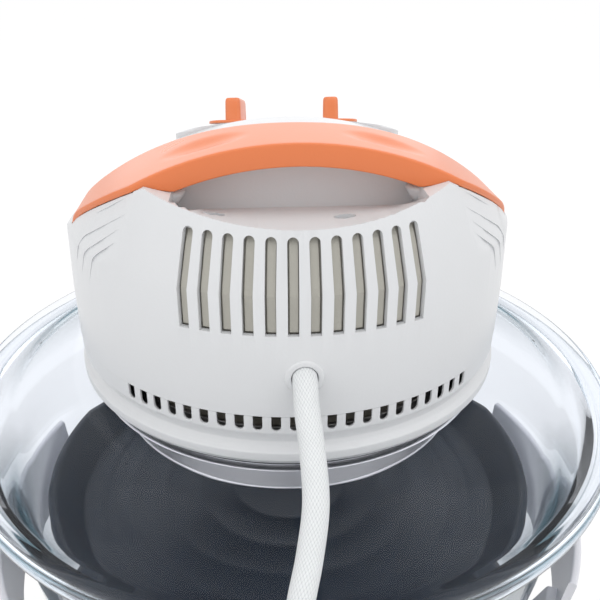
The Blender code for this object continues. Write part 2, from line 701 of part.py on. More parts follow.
def side_plate(bm, outline, inner, outer):
    """A plate standing in the side plane between two distances from the middle."""
    loft(bm, [[(x, y, z) for y, z in outline] for x in (inner, outer)])


def build_housing():
    """Moulded upper housing: arched shoulders, a sloping front dome, a finger well between two horns,
    louvre slots through the back, side pockets for the handle's arms and a recess for the control panel."""
    top = cone_radius(HEAD_TOP)
    housing = turned("upper_housing", [(0, HEAD_BOTTOM), (HEAD_RADIUS, HEAD_BOTTOM), (HEAD_RADIUS, CREASE_HEIGHT),
                                       (top, HEAD_TOP), (0, HEAD_TOP)], WHITE)
    reach = HEAD_RADIUS + OVERRUN
    columns = [reach * (2 * k / DOME_COLUMNS - 1) for k in range(DOME_COLUMNS + 1)]

    def vault(y, fall):
        sky = HEAD_TOP + OVERRUN
        return [(x, y, arch_height(x) - fall) for x in columns] + [(reach, y, sky), (-reach, y, sky)]

    drop = (PANEL_REAR + reach) * math.tan(DOME_TILT)
    dome = bmesh.new()
    loft(dome, [vault(-reach, drop), vault(PANEL_REAR, 0), vault(reach, 0)])
    boolean(housing, finish("dome", dome, None))

    trough = bmesh.new()
    spread = [TROUGH_HALF * (2 * k / TROUGH_COLUMNS - 1) for k in range(TROUGH_COLUMNS + 1)]
    low = [(x, TROUGH_AXIS_HEIGHT - math.sqrt(TROUGH_RADIUS ** 2 - x * x)) for x in spread]
    ends = [(spread[-1], HEAD_TOP + OVERRUN), (spread[0], HEAD_TOP + OVERRUN)]
    loft(trough, [[(x, y, z) for x, z in low + ends] for y in (HORN_INNER, reach)])
    boolean(housing, finish("trough", trough, None))

    well = bmesh.new()
    wide = [WELL_HALF * (2 * k / WELL_COLUMNS - 1) for k in range(WELL_COLUMNS + 1)]
    loft(well, [well_section(x, WELL_BACK, OVERRUN) for x in wide])
    boolean(housing, finish("well", well, None))

    seat = bmesh.new()
    loft(seat, handle_sections(SLIDE_GAP), True)
    boolean(housing, finish("seat", seat, None))
    for side in (-1, 1):
        pocket = bmesh.new()
        side_plate(pocket, arm_outline(SLIDE_GAP * 2), side * POCKET_FLOOR, side * reach)
        boolean(housing, finish("pocket", pocket, None))

    recess = bmesh.new()
    stations = panel_stations(GAP)
    outline = [(half, y) for half, y in stations] + [(-half, y) for half, y in reversed(stations)]
    floor = [(x, y, panel_height(0, y) - PANEL_DEPTH - GAP) for x, y in outline]
    loft(recess, [floor, [(x, y, HEAD_TOP + OVERRUN) for x, y in outline]])
    boolean(housing, finish("recess", recess, None))

    side_wall = POCKET_FLOOR - SHELL_WALL
    room = [(max(-side_wall, min(side_wall, x)), y) for x, y in circle(CAVITY_RADIUS, HEAD_STEPS)]
    boolean(housing, raised("room", room, HEAD_BOTTOM - OVERRUN, ROOM_TOP, None))
    loft_half = WELL_BACK * 3 / 2
    back_room = [(max(-loft_half, min(loft_half, x)), max(0, y)) for x, y in circle(ATTIC_RADIUS, HEAD_STEPS)]
    boolean(housing, raised("back_room", back_room, ROOM_TOP - OVERRUN, CAVITY_TOP, None))
    front_room = bmesh.new()
    outline = rounded(-FRONT_ROOM_HALF, FRONT_ROOM_HALF, FRONT_ROOM_END, OVERRUN, PANEL_CORNER)
    ceiling = [(x, y, panel_height(0, y) - PANEL_DEPTH - ROOF_BELOW_PANEL) for x, y in outline]
    loft(front_room, [[(x, y, ROOM_TOP - OVERRUN) for x, y in outline], ceiling])
    boolean(housing, finish("front_room", front_room, None))
    under_seat = rectangle(-LOFT_HALF, LOFT_HALF, OVERRUN * 2, WELL_BACK - ROOF_WALL)
    boolean(housing, raised("under_seat", under_seat, CAVITY_TOP - OVERRUN, LOFT_TOP, None))
    bore = circle(PLUNGER_RADIUS + SLIDE_GAP, SMALL_STEPS, PLUNGER_X, PLUNGER_Y)
    boolean(housing, raised("plunger_hole", bore, LOFT_TOP - OVERRUN, HEAD_TOP, None))

    channel = bmesh.new()
    span = SLOT_PITCH * (SLOT_COUNT + 1)
    lathe(channel, vane_outline(0), VANE_STEPS, TURN / 4 - span / 2, span)
    boolean(housing, finish("channel", channel, None))

    slots = bmesh.new()
    for index in range(SLOT_COUNT):
        place = index - (SLOT_COUNT - 1) / 2
        share = (2 * place / (SLOT_COUNT - 1)) ** 2
        slot_loft(slots, TURN / 4 + SLOT_PITCH * place, SLOT_TOP + SLOT_TOP_RISE * share)
    boolean(housing, finish("slots", slots, None))

    bore = bmesh.new()
    rod(bore, (0, HEAD_RADIUS / 2, CORD_EXIT_HEIGHT), (0, HEAD_RADIUS + OVERRUN, CORD_EXIT_HEIGHT),
        BUSH_RADIUS + GAP, SMALL_STEPS)
    boolean(housing, finish("cord_hole", bore, None))
    for x in (-KNOB_X, KNOB_X):
        boolean(housing, shaft_rod("knob_hole", x, None, SHAFT_RADIUS + SLIDE_GAP, PANEL_DEPTH * 2))
    for side in (-1, 1):
        pin = bmesh.new()
        rod(pin, (side * (POCKET_FLOOR - PIN_DEPTH - GAP), PIVOT_Y, PIVOT_Z), (side * reach, PIVOT_Y, PIVOT_Z),
            PIVOT_PIN_RADIUS + GAP, SMALL_STEPS)
        boolean(housing, finish("pin_hole", pin, None))
    bake(housing)


def vane_outline(inset):
    """Section of the space behind the slots, and with an inset the curved vane strip that stands in it."""
    wall = SHELL_WALL + inset if inset else SHELL_WALL - GAP
    low = ROOM_TOP - OVERRUN if inset == 0 else SLOT_BOTTOM - VANE_GAP
    top = CHANNEL_TOP - inset
    bend = CREASE_HEIGHT - SHELL_WALL
    if inset == 0:
        return [(ATTIC_RADIUS - OVERRUN, low), (HEAD_RADIUS - wall, low), (HEAD_RADIUS - wall, bend),
                (cone_radius(top) - wall, top), (ATTIC_RADIUS - OVERRUN, top)]
    return [(HEAD_RADIUS - wall - VANE_THICK, low), (HEAD_RADIUS - wall, low), (HEAD_RADIUS - wall, bend),
            (cone_radius(top) - wall, top), (cone_radius(top) - wall - VANE_THICK, top),
            (HEAD_RADIUS - wall - VANE_THICK, bend)]


def slot_loft(bm, angle, top):
    """One louvre slot: square at the bottom, round at the top, cut straight in toward the axis."""
    half = SLOT_WIDTH / 2
    shape = [(-half, SLOT_BOTTOM), (half, SLOT_BOTTOM)] + arc(0, top - half, half, 0, 180, ROUND_STEPS)
    sections = []
    for reach in (ATTIC_RADIUS + VANE_THICK, HEAD_RADIUS + OVERRUN):
        sections.append([turn_z(angle) @ Vector((reach, side, height)) for side, height in shape])
    loft(bm, sections)


def panel_frame(x):
    """The place and tilt of the control panel's surface at a knob."""
    tilt = Matrix.Rotation(math.atan(PANEL_SLOPE_SHARE), 4, "X")
    return Matrix.Translation((x, KNOB_Y, panel_height(x, KNOB_Y))) @ tilt


def shaft_rod(name, x, look, radius, length, above=0):
    """A bar square to the control panel, from above its surface down through it."""
    return raised(name, circle(radius, SMALL_STEPS), -length, above, look, panel_frame(x))


def build_vanes():
    bm = bmesh.new()
    span = SLOT_PITCH * (SLOT_COUNT + 1 / 2)
    lathe(bm, vane_outline(VANE_INSET), VANE_STEPS, TURN / 4 - span / 2, span)
    finish("vent_vanes", bm, VANE_GREY)


def build_handle():
    """Arched carry handle, one moulding with an arm and a pivot boss at each side."""
    bm = bmesh.new()
    loft(bm, handle_sections(), True)
    handle = finish("carry_handle", bm, ORANGE)
    for side in (-1, 1):
        arm = bmesh.new()
        side_plate(arm, arm_outline(0), side * ARM_INNER, side * ARM_OUTER)
        boolean(handle, finish("arm", arm, None), "UNION")
    for side in (-1, 1):
        hole = bmesh.new()
        rod(hole, (side * CAVITY_RADIUS / 2, PIVOT_Y, PIVOT_Z), (side * HEAD_RADIUS, PIVOT_Y, PIVOT_Z),
            PIVOT_PIN_RADIUS + GAP, SMALL_STEPS)
        boolean(handle, finish("pin_bore", hole, None))
    bake(handle)
    for side, word in ((-1, "left"), (1, "right")):
        pin = bmesh.new()
        inner = side * (POCKET_FLOOR - PIN_DEPTH)
        rod(pin, (inner, PIVOT_Y, PIVOT_Z), (side * (ARM_OUTER + GAP * 2), PIVOT_Y, PIVOT_Z),
            PIVOT_PIN_RADIUS, SMALL_STEPS)
        post = finish(f"pivot_pin_{word}", pin, STEEL)
        head = bmesh.new()
        rod(head, (side * (ARM_OUTER + GAP), PIVOT_Y, PIVOT_Z), (side * (ARM_OUTER + SHELL_WALL / 2), PIVOT_Y,
                                                                 PIVOT_Z), PIN_HEAD_RADIUS, SMALL_STEPS)
        boolean(post, finish("pin_head", head, None), "UNION")
        bake(post)


def panel_stations(grow):
    """Half widths of the control panel at stations from front to rear, with round corners in plan."""
    stations = []
    for end, inward in ((PANEL_FRONT - grow, 1), (PANEL_REAR + grow, -1)):
        corner = PANEL_CORNER + grow
        row = []
        for k in range(ROUND_STEPS + 1):
            angle = TURN / 4 * (1 - k / ROUND_STEPS)
            row.append((PANEL_BASE_HALF + grow - corner * (1 - math.cos(angle)),
                        end + inward * corner * (1 - math.sin(angle))))
        stations += row if inward > 0 else list(reversed(row))
    return stations


def build_panel():
    """Raised control panel with rounded corners and a crowned, sloping top."""
    bm = bmesh.new()
    sections = []
    for half, y in panel_stations(0):
        low = panel_height(0, y) - PANEL_DEPTH
        crest = half * PANEL_HALF / PANEL_BASE_HALF
        across = [crest * (1 - 2 * k / CROWN_STEPS) for k in range(CROWN_STEPS + 1)]
        shoulder = panel_height(crest, y) - PANEL_EDGE
        section = [(-half, y, shoulder), (-half, y, low), (half, y, low), (half, y, shoulder)]
        sections.append(section + [(x, y, panel_height(x, y)) for x in across])
    loft(bm, sections)
    panel = finish("control_panel", bm, WHITE)
    for x in (-KNOB_X, KNOB_X):
        boolean(panel, shaft_rod("hole", x, None, SHAFT_RADIUS + SLIDE_GAP, PANEL_DEPTH * 2, OVERRUN * 2))
    for x in (-KNOB_X, KNOB_X):
        hole = raised("lens_hole", circle(LENS_RADIUS + GAP), -LENS_DEPTH - GAP, OVERRUN, None, lens_frame(x))
        boolean(panel, hole)
    bake(panel)
    for x, word in ((-KNOB_X, "power"), (KNOB_X, "heat")):
        raised(f"{word}_light", circle(LENS_RADIUS), -LENS_DEPTH, SLIDE_GAP, LENS, lens_frame(x))


def lens_frame(x):
    """The place of an indicator lens behind a knob."""
    tilt = Matrix.Rotation(math.atan(PANEL_SLOPE_SHARE), 4, "X")
    return Matrix.Translation((x, LENS_Y, panel_height(x, LENS_Y))) @ tilt


def build_knobs():
    """Two knobs, each a round skirt with a tapered grip blade, and the shafts and bodies below them."""
    for name, x, angle in (("timer", KNOB_X, TIMER_TURN), ("thermostat", -KNOB_X, THERMOSTAT_TURN)):
        frame = panel_frame(x)
        lift = KNOB_CLEAR
        skirt = [(0, lift), (SKIRT_RADIUS, lift), (SKIRT_RADIUS, lift + SKIRT_HEIGHT * 2 / 3),
                 (SKIRT_RADIUS - SKIRT_HEIGHT / 3, lift + SKIRT_HEIGHT), (0, lift + SKIRT_HEIGHT)]
        knob = turned(f"{name}_knob", skirt, ORANGE, HEAD_STEPS // 3)
        blade = bmesh.new()
        reach = SKIRT_RADIUS - SKIRT_HEIGHT / 2
        low = rounded(-BLADE_WIDTH / 2, BLADE_WIDTH / 2, -reach, reach, BLADE_WIDTH / 3, 2)
        high = rounded(-BLADE_WIDTH / 2 + SHEET / 4, BLADE_WIDTH / 2 - SHEET / 4, -reach + SHEET, reach - SHEET,
                       BLADE_WIDTH / 3, 2)
        loft(blade, [[(px, py, lift + SKIRT_HEIGHT / 2) for px, py in low],
                     [(px, py, KNOB_HEIGHT - BLADE_WIDTH / 9) for px, py in high],
                     [(px * BLADE_TOP_SHARE, py * BLADE_TOP_SHARE, KNOB_HEIGHT) for px, py in high]])
        boolean(knob, finish("blade", blade, None, turn_z(angle)), "UNION")
        socket = raised("socket", circle(SHAFT_RADIUS + GAP), 0, SHAFT_REACH + GAP, None)
        boolean(knob, socket)
        bake(knob)
        knob.matrix_world = frame
        depth = PANEL_DEPTH + ROOF_BELOW_PANEL
        shaft = raised(f"{name}_shaft", circle(SHAFT_RADIUS), -depth, SHAFT_REACH, ALUMINIUM)
        shaft.matrix_world = frame


def build_seal():
    """Gasket on the lid, and the clamp ring below that holds lid and head together with four screws."""
    low = LID_CROWN + GAP
    high = RING_LOW_HEIGHT - GAP
    middle = RING_LOW_RADIUS - GASKET_WIDTH / 2
    half = GASKET_WIDTH / 2
    turned("lid_gasket", [(middle - half, low), (middle + half, low), (middle + half, high),
                          (middle - half, high)], RUBBER, GLASS_STEPS)
    under = LID_CROWN - LID_WALL - GAP * 2
    wall = RING_FLANGE_RADIUS + CLAMP_WALL
    ring = turned("clamp_ring", [(RING_FLANGE_RADIUS, under - CLAMP_THICK), (CLAMP_RADIUS, under - CLAMP_THICK),
                                 (CLAMP_RADIUS, under), (wall, under), (wall, high),
                                 (RING_FLANGE_RADIUS, high)], STEEL, GLASS_STEPS)
    top = RING_LOW_HEIGHT + RING_FLANGE_THICK + GAP * 2 + SHROUD_WALL
    for index in range(SCREW_COUNT):
        angle = TURN * (index + 1 / 2) / SCREW_COUNT
        x = (wall + RING_FLANGE_RADIUS) / 2 * math.cos(angle)
        y = (wall + RING_FLANGE_RADIUS) / 2 * math.sin(angle)
        screw = raised(f"clamp_screw_{index + 1}", circle(SCREW_RADIUS, SMALL_STEPS // 2, x, y),
                       high - SCREW_DEPTH, top + GAP * 2, STEEL)
        head = raised("head", circle(SCREW_HEAD, SMALL_STEPS // 2, x, y), top, top + SCREW_HEAD, None)
        boolean(screw, head, "UNION")
        bake(screw)
        for name in ("clamp_ring", "lower_ring", "heater_shroud"):
            hole = circle(SCREW_RADIUS + GAP, SMALL_STEPS // 2, x, y)
            low_end = high - SCREW_DEPTH - GAP if name == "clamp_ring" else high - GAP
            boolean(bpy.data.objects[name], raised("screw_hole", hole, low_end, top + OVERRUN, None))
    for name in ("clamp_ring", "lower_ring", "heater_shroud"):
        bake(bpy.data.objects[name])


def build_heater():
    """Shroud, reflector, insulation, halogen ring with its end caps, and the wire guard below."""
    ledge = RING_LOW_HEIGHT + RING_FLANGE_THICK + GAP
    inner = SHROUD_RADIUS - SHROUD_WALL
    lip = SHROUD_TOP - SHROUD_WALL
    turned("heater_shroud", [(SHROUD_RADIUS, SHROUD_BOTTOM), (SHROUD_RADIUS, ledge),
                             (RING_FLANGE_RADIUS + CLAMP_WALL + GAP, ledge),
                             (RING_FLANGE_RADIUS + CLAMP_WALL + GAP, ledge + SHROUD_WALL),
                             (SHROUD_RADIUS, ledge + SHROUD_WALL), (SHROUD_RADIUS, SHROUD_TOP),
                             (SHROUD_RADIUS - SHROUD_LIP, SHROUD_TOP), (SHROUD_RADIUS - SHROUD_LIP, lip),
                             (inner, lip), (inner, SHROUD_BOTTOM)], STEEL, GLASS_STEPS)
    hole = FAN_SHAFT_RADIUS * 2
    plate = lip - GAP
    turned("reflector_plate", [(hole, plate - SHEET), (inner - GAP, plate - SHEET), (inner - GAP, plate),
                               (hole, plate)], ALUMINIUM, GLASS_STEPS)
    board = SHROUD_TOP + GAP
    turned("insulation_disc", [(hole, board), (SHROUD_RADIUS - SHEET, board),
                               (SHROUD_RADIUS - SHEET, board + INSULATION_THICK),
                               (hole, board + INSULATION_THICK)], MICA, GLASS_STEPS)
    lamp = bmesh.new()
    start = TURN / 4 + LAMP_OPENING / 2
    sweep = TURN - LAMP_OPENING
    lathe(lamp, arc(LAMP_RADIUS, LAMP_HEIGHT, LAMP_TUBE, 0, 300, 5), LAMP_STEPS, start, sweep)
    finish("halogen_lamp", lamp, QUARTZ)
    for word, side in (("left", 1), ("right", -1)):
        angle = TURN / 4 + side * LAMP_OPENING / 2
        along = -side
        near = along * GAP
        far = along * (GAP + LAMP_TUBE * 2)
        block = rectangle(LAMP_RADIUS - LAMP_TUBE * CAP_SHARE, LAMP_RADIUS + LAMP_TUBE * CAP_SHARE,
                          min(near, far), max(near, far))
        raised(f"lamp_cap_{word}", block, LAMP_HEIGHT - LAMP_TUBE * CAP_SHARE, plate - SHEET - GAP, CERAMIC,
               turn_z(angle))
    guard_radius = inner - GAP - GUARD_WIRE
    bm = bmesh.new()
    hoop(bm, guard_radius, GUARD_HEIGHT, GUARD_WIRE)
    guard = finish("wire_guard", bm, STEEL)
    for index in range(GUARD_SPOKES):
        angle = TURN / 2 * index / GUARD_SPOKES
        x = guard_radius * math.cos(angle)
        y = guard_radius * math.sin(angle)
        spoke = bmesh.new()
        rod(spoke, (-x, -y, GUARD_HEIGHT), (x, y, GUARD_HEIGHT), GUARD_WIRE * 4 / 5)
        boolean(guard, finish("spoke", spoke, None), "UNION")
    for index in range(1, GUARD_HOOPS):
        ring = bmesh.new()
        hoop(ring, guard_radius * index / GUARD_HOOPS, GUARD_HEIGHT, GUARD_WIRE)
        boolean(guard, finish("ring", ring, None), "UNION")
    bake(guard)


def build_fan(name, height, radius, look, below):
    """A pressed fan: a thin disc on a hub with pitched blades on one side."""
    rise = FAN_RISE
    bore = FAN_SHAFT_RADIUS + GAP
    low = height + (rise - BLADE_THICK if below else 0)
    fan = turned(name, [(bore, height), (HUB_RADIUS, height), (HUB_RADIUS, low), (radius, low),
                        (radius, low + BLADE_THICK), (HUB_RADIUS, low + BLADE_THICK),
                        (HUB_RADIUS, height + rise), (bore, height + rise)], look, GLASS_STEPS // 2)
    for index in range(FAN_BLADES):
        reach = rectangle(HUB_RADIUS - BLADE_THICK, radius - BLADE_THICK, -BLADE_THICK / 2, BLADE_THICK / 2)
        tilt = Matrix.Translation((HUB_RADIUS, 0, 0)) @ turn_z(FAN_SWEEP) @ Matrix.Translation((-HUB_RADIUS, 0, 0))
        blade = raised("blade", reach, height + BLADE_THICK / 2, height + rise - BLADE_THICK / 2, None,
                       turn_z(TURN * index / FAN_BLADES) @ tilt)
        boolean(fan, blade, "UNION")
    return bake(fan)


def build_motor():
    """Shaded-pole motor on a bracket, its shaft with a fan at each end, and two bearings."""
    shaft = raised("fan_shaft", circle(FAN_SHAFT_RADIUS), HOT_FAN_HEIGHT - OVERRUN, SHAFT_TOP, STEEL)
    rotor = raised("rotor", circle(ROTOR_RADIUS, SMALL_STEPS + 4), MOTOR_BOTTOM + GAP, MOTOR_TOP - GAP, None)
    boolean(shaft, rotor, "UNION")
    bake(shaft)
    build_fan("convection_fan", HOT_FAN_HEIGHT, HOT_FAN_RADIUS, ALUMINIUM, True)
    build_fan("cooling_fan", COOL_FAN_HEIGHT, COOL_FAN_RADIUS, BLACK_PLASTIC, False)

    core = raised("motor_core", rectangle(-MOTOR_HALF, MOTOR_HALF, -MOTOR_REACH, MOTOR_HALF - MOTOR_LEG / 2),
                  MOTOR_BOTTOM, MOTOR_TOP, DARK_STEEL)
    window = rectangle(-MOTOR_HALF + MOTOR_LEG, MOTOR_HALF - MOTOR_LEG, -MOTOR_REACH + MOTOR_LEG,
                       -BEARING_RADIUS)
    boolean(core, raised("window", window, MOTOR_BOTTOM - OVERRUN, MOTOR_TOP + OVERRUN, None))
    boolean(core, raised("bore", circle(ROTOR_RADIUS + SLIDE_GAP, SMALL_STEPS + 4), MOTOR_BOTTOM - OVERRUN,
                         MOTOR_TOP + OVERRUN, None))
    bake(core)
    inside = MOTOR_HALF - MOTOR_LEG - GAP
    coil = raised("motor_coil", rounded(-inside, inside, -MOTOR_REACH - COIL_OVERHANG, -BEARING_RADIUS -
                                        COIL_OVERHANG, COIL_OVERHANG / 2, 2),
                  MOTOR_BOTTOM - COIL_OVERHANG, MOTOR_TOP + COIL_OVERHANG, COPPER)
    slot = rectangle(-MOTOR_HALF, MOTOR_HALF, -MOTOR_REACH - GAP, -MOTOR_REACH + MOTOR_LEG + GAP)
    boolean(coil, raised("coil_bore", slot, MOTOR_BOTTOM - GAP, MOTOR_TOP + GAP, None))
    bake(coil)
    for word, low, high in (("lower", BRACKET_HEIGHT + BRACKET_THICK + GAP, MOTOR_BOTTOM - GAP),
                            ("upper", MOTOR_TOP + GAP, MOTOR_TOP + GAP + BEARING_HEIGHT)):
        bore = FAN_SHAFT_RADIUS + GAP
        turned(f"{word}_bearing", [(bore, low), (BEARING_RADIUS, low), (BEARING_RADIUS, high), (bore, high)],
               STEEL, SMALL_STEPS)

    rest = SHROUD_TOP + GAP * 2 + INSULATION_THICK
    end = SHROUD_RADIUS - SHEET * 2
    side = [(-end, rest), (-end + BRACKET_THICK * 2, rest), (-end + BRACKET_THICK * 2, BRACKET_HEIGHT),
            (end - BRACKET_THICK * 2, BRACKET_HEIGHT), (end - BRACKET_THICK * 2, rest), (end, rest),
            (end, BRACKET_HEIGHT + BRACKET_THICK), (-end, BRACKET_HEIGHT + BRACKET_THICK)]
    bm = bmesh.new()
    loft(bm, [[(x, y, z) for x, z in side] for y in (-BRACKET_HALF, BRACKET_HALF)])
    bracket = finish("motor_bracket", bm, DARK_STEEL)
    boolean(bracket, raised("bore", circle(FAN_SHAFT_RADIUS * 2), rest - OVERRUN, MOTOR_BOTTOM, None))
    bake(bracket)
    raised("thermal_cutout", circle(CUTOUT_RADIUS, SMALL_STEPS, 0, CUTOUT_Y), rest, rest + CUTOUT_HEIGHT,
           BLACK_PLASTIC)


def build_controls():
    """Timer and thermostat bodies under the panel, and the switch that the carry handle holds down."""
    top = PANEL_DEPTH + ROOF_BELOW_PANEL + GAP
    for name, x in (("timer_body", KNOB_X), ("thermostat_body", -KNOB_X)):
        body = raised(name, circle(BODY_RADIUS, SMALL_STEPS), -top - BODY_HEIGHT, -top, BLACK_PLASTIC)
        bore = raised("bore", circle(SHAFT_RADIUS + SLIDE_GAP), -top - SHAFT_REACH, OVERRUN, None)
        boolean(body, bore)
        bake(body)
        body.matrix_world = panel_frame(x)
    high = LOFT_TOP - GAP
    outline = rectangle(PLUNGER_X - SWITCH_HALF, PLUNGER_X + SWITCH_HALF, PLUNGER_Y - SWITCH_DEPTH / 2,
                        PLUNGER_Y + SWITCH_DEPTH / 2)
    switch = raised("safety_switch", outline, high - SWITCH_HEIGHT, high, BLACK_PLASTIC)
    bore = circle(PLUNGER_RADIUS + GAP, SMALL_STEPS, PLUNGER_X, PLUNGER_Y)
    boolean(switch, raised("bore", bore, high - PLUNGER_REACH - GAP, high + OVERRUN, None))
    bake(switch)
    raised("switch_plunger", circle(PLUNGER_RADIUS, SMALL_STEPS, PLUNGER_X, PLUNGER_Y), high - PLUNGER_REACH,
           PLUNGER_TOP, WHITE)


def smooth_route(points, count):
    """Evenly shared points of a smooth curve through the route's points."""
    route = [Vector(point) for point in points]
    spans = len(route) - 1
    fine = []
    for index in range(spans):
        before = route[max(0, index - 1)]
        start = route[index]
        end = route[index + 1]
        after = route[min(spans, index + 2)]
        for k in range(FINE_STEPS):
            t = k / FINE_STEPS
            pull = (end - before) * t + (before * 2 - start * 5 + end * 4 - after) * t ** 2
            fine.append(start + (pull + (start * 3 - before - end * 3 + after) * t ** 3) / 2)
    fine.append(route[-1])
    lengths = [0]
    for near, far in zip(fine, fine[1:]):
        lengths.append(lengths[-1] + (far - near).length)
    result = []
    place = 0
    for k in range(count):
        wanted = lengths[-1] * k / (count - 1)
        while place < len(fine) - 2 and lengths[place + 1] < wanted:
            place += 1
        share = (wanted - lengths[place]) / (lengths[place + 1] - lengths[place])
        result.append(fine[place].lerp(fine[place + 1], share))
    return result, lengths[-1]


def cord_tube(name, points, sides):
    """An unbroken tube along the points, as a filled curve."""
    curve = bpy.data.curves.new(name, "CURVE")
    curve.dimensions = "3D"
    curve.bevel_depth = CORD_RADIUS
    curve.bevel_resolution = sides
    curve.use_fill_caps = True
    spline = curve.splines.new("POLY")
    spline.points.add(len(points) - 1)
    for target, point in zip(spline.points, points):
        target.co = (*point, 1)
    curve.materials.append(BRAID)
    tube = bpy.data.objects.new(name, curve)
    bpy.context.collection.objects.link(tube)
    return tube


def coil_points():
    """The put-away length: it winds in on the table, climbs a layer and winds out again to the plug."""
    inner = COIL_RADIUS - COIL_STEP * COIL_TURNS / 2
    floor = CORD_RADIUS + TIE_THICK + GAP * 2
    wound = COIL_TURNS * 2 + 1 / 2
    total = round(wound * COIL_POINTS)
    points = []
    for k in range(total + 1):
        turned_by = wound * k / total
        into = max(0, COIL_TURNS - turned_by)
        out = max(0, turned_by - COIL_TURNS - 1 / 2)
        climb = min(1, max(0, (turned_by - COIL_TURNS) * 2))
        radius = inner + COIL_STEP * (into + out)
        angle = TURN * turned_by
        points.append(Vector((COIL_X + radius * math.cos(angle), COIL_Y + radius * math.sin(angle),
                              floor + COIL_RISE * climb)))
    straight = CORD_RADIUS * 2
    first = points[0] - Vector((0, straight, 0))
    last = points[-1] + Vector((PLUG_LEAD, 0, 0))
    return [first] + points + [last]


def least_gap(points):
    """Least clearance of the coil to itself, between stretches more than a third of a turn apart."""
    least = COIL_RADIUS
    apart = COIL_POINTS // 3
    for i, near in enumerate(points):
        for far in points[i + apart:]:
            least = min(least, (near - far).length - CORD_RADIUS * 2)
    return least


def build_cord():
    """Braided supply cord: bush and terminal block in the head, the free stretch, the coil and the plug."""
    low = HEAD_RADIUS - SHELL_WALL * 2
    bore = CORD_RADIUS + GAP * 2
    bush = turned("cord_bush", [(bore, 0), (BUSH_RADIUS + SHELL_WALL / 2, 0),
                                (BUSH_RADIUS + SHELL_WALL / 2, SHELL_WALL - GAP * 2),
                                (BUSH_RADIUS, SHELL_WALL - GAP * 2), (BUSH_RADIUS, SHELL_WALL * 2 - GAP),
                                (bore, SHELL_WALL * 2 - GAP)], WHITE, SMALL_STEPS)
    bush.matrix_world = Matrix.Translation((0, low, CORD_EXIT_HEIGHT)) @ Matrix.Rotation(-TURN / 4, 4, "X")
    start = low - CORD_RADIUS
    block = rectangle(-BLOCK_HALF, BLOCK_HALF, start - GAP - BLOCK_DEPTH, start - GAP)
    raised("terminal_block", block, CORD_EXIT_HEIGHT - BLOCK_DEPTH / 2, CORD_EXIT_HEIGHT + BLOCK_DEPTH / 2,
           WHITE)
    coil = coil_points()
    print("coil's least gap to itself, mm:", round(least_gap(coil[1:-1]) * 1000, 2))
    route = [(0, start, CORD_EXIT_HEIGHT)] + list(CORD_ROUTE)
    route += [coil[0] - Vector((0, CORD_RADIUS * 6, 0)), coil[0] - Vector((0, GAP, 0))]
    points, length = smooth_route(route, CORD_POINTS)
    cord_tube("power_cord", points, 2)
    cord_tube("cord_coil", coil, 1)
    wound = sum((far - near).length for near, far in zip(coil, coil[1:]))
    print("cord length, m:", round(length, 3), "coil length, m:", round(wound, 3))

    heading = Vector((1, 0, 0))
    frame = Matrix.Translation(coil[-1] + heading * GAP) @ heading.to_track_quat("Z", "Y").to_matrix().to_4x4()
    radius = coil[-1].z
    body = turned("plug_body", [(0, 0), (CORD_RADIUS + SHEET * 2, 0), (CORD_RADIUS + SHEET * 3, PLUG_NECK),
                                (radius - SHEET * 2, PLUG_NECK + SHEET * 3), (radius, PLUG_NECK + SHEET * 6),
                                (radius, PLUG_LENGTH), (0, PLUG_LENGTH)], WHITE, SMALL_STEPS)
    for side in (-1, 1):
        hole = circle(PLUG_PIN_RADIUS + GAP, SMALL_STEPS // 2, 0, side * PLUG_PIN_SPREAD)
        boolean(body, raised("pin_hole", hole, PLUG_LENGTH - PLUG_PIN_RADIUS * 2, PLUG_LENGTH + OVERRUN, None))
    bake(body)
    body.matrix_world = frame
    for word, side in (("one", -1), ("two", 1)):
        pin = raised(f"plug_pin_{word}", circle(PLUG_PIN_RADIUS, SMALL_STEPS // 2, 0, side * PLUG_PIN_SPREAD),
                     PLUG_LENGTH - PLUG_PIN_RADIUS * 2 + GAP, PLUG_LENGTH + PLUG_PIN_LENGTH, BRASS)
        pin.matrix_world = frame

    inner = COIL_RADIUS - COIL_STEP * (COIL_TURNS / 2 + 1 / 4) - CORD_RADIUS + GAP
    outer = COIL_RADIUS + COIL_STEP * (COIL_TURNS / 2 + 1 / 4) + CORD_RADIUS
    high = TIE_THICK + GAP * 3 + CORD_RADIUS * 2 + COIL_RISE
    band = rectangle(COIL_X - outer - TIE_THICK, COIL_X - inner + TIE_THICK, COIL_Y - TIE_WIDTH / 2,
                     COIL_Y + TIE_WIDTH / 2)
    tie = raised("cord_tie", band, 0, high + TIE_THICK, BLACK_PLASTIC)
    room = rectangle(COIL_X - outer, COIL_X - inner, COIL_Y - TIE_WIDTH, COIL_Y + TIE_WIDTH)
    boolean(tie, raised("room", room, TIE_THICK, high, None))
    bake(tie)


build_stand()
build_bowl()
build_lid()
build_pan()
build_rack()
build_ring()
build_housing()
build_vanes()
build_handle()
build_panel()
build_knobs()
build_heater()
build_seal()
build_motor()
build_controls()
build_cord()
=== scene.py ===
"""Looks for the halogen oven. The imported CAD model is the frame, and each finer piece rides on its bodies."""
import math

import bmesh
import bpy
from mathutils import Matrix, Vector


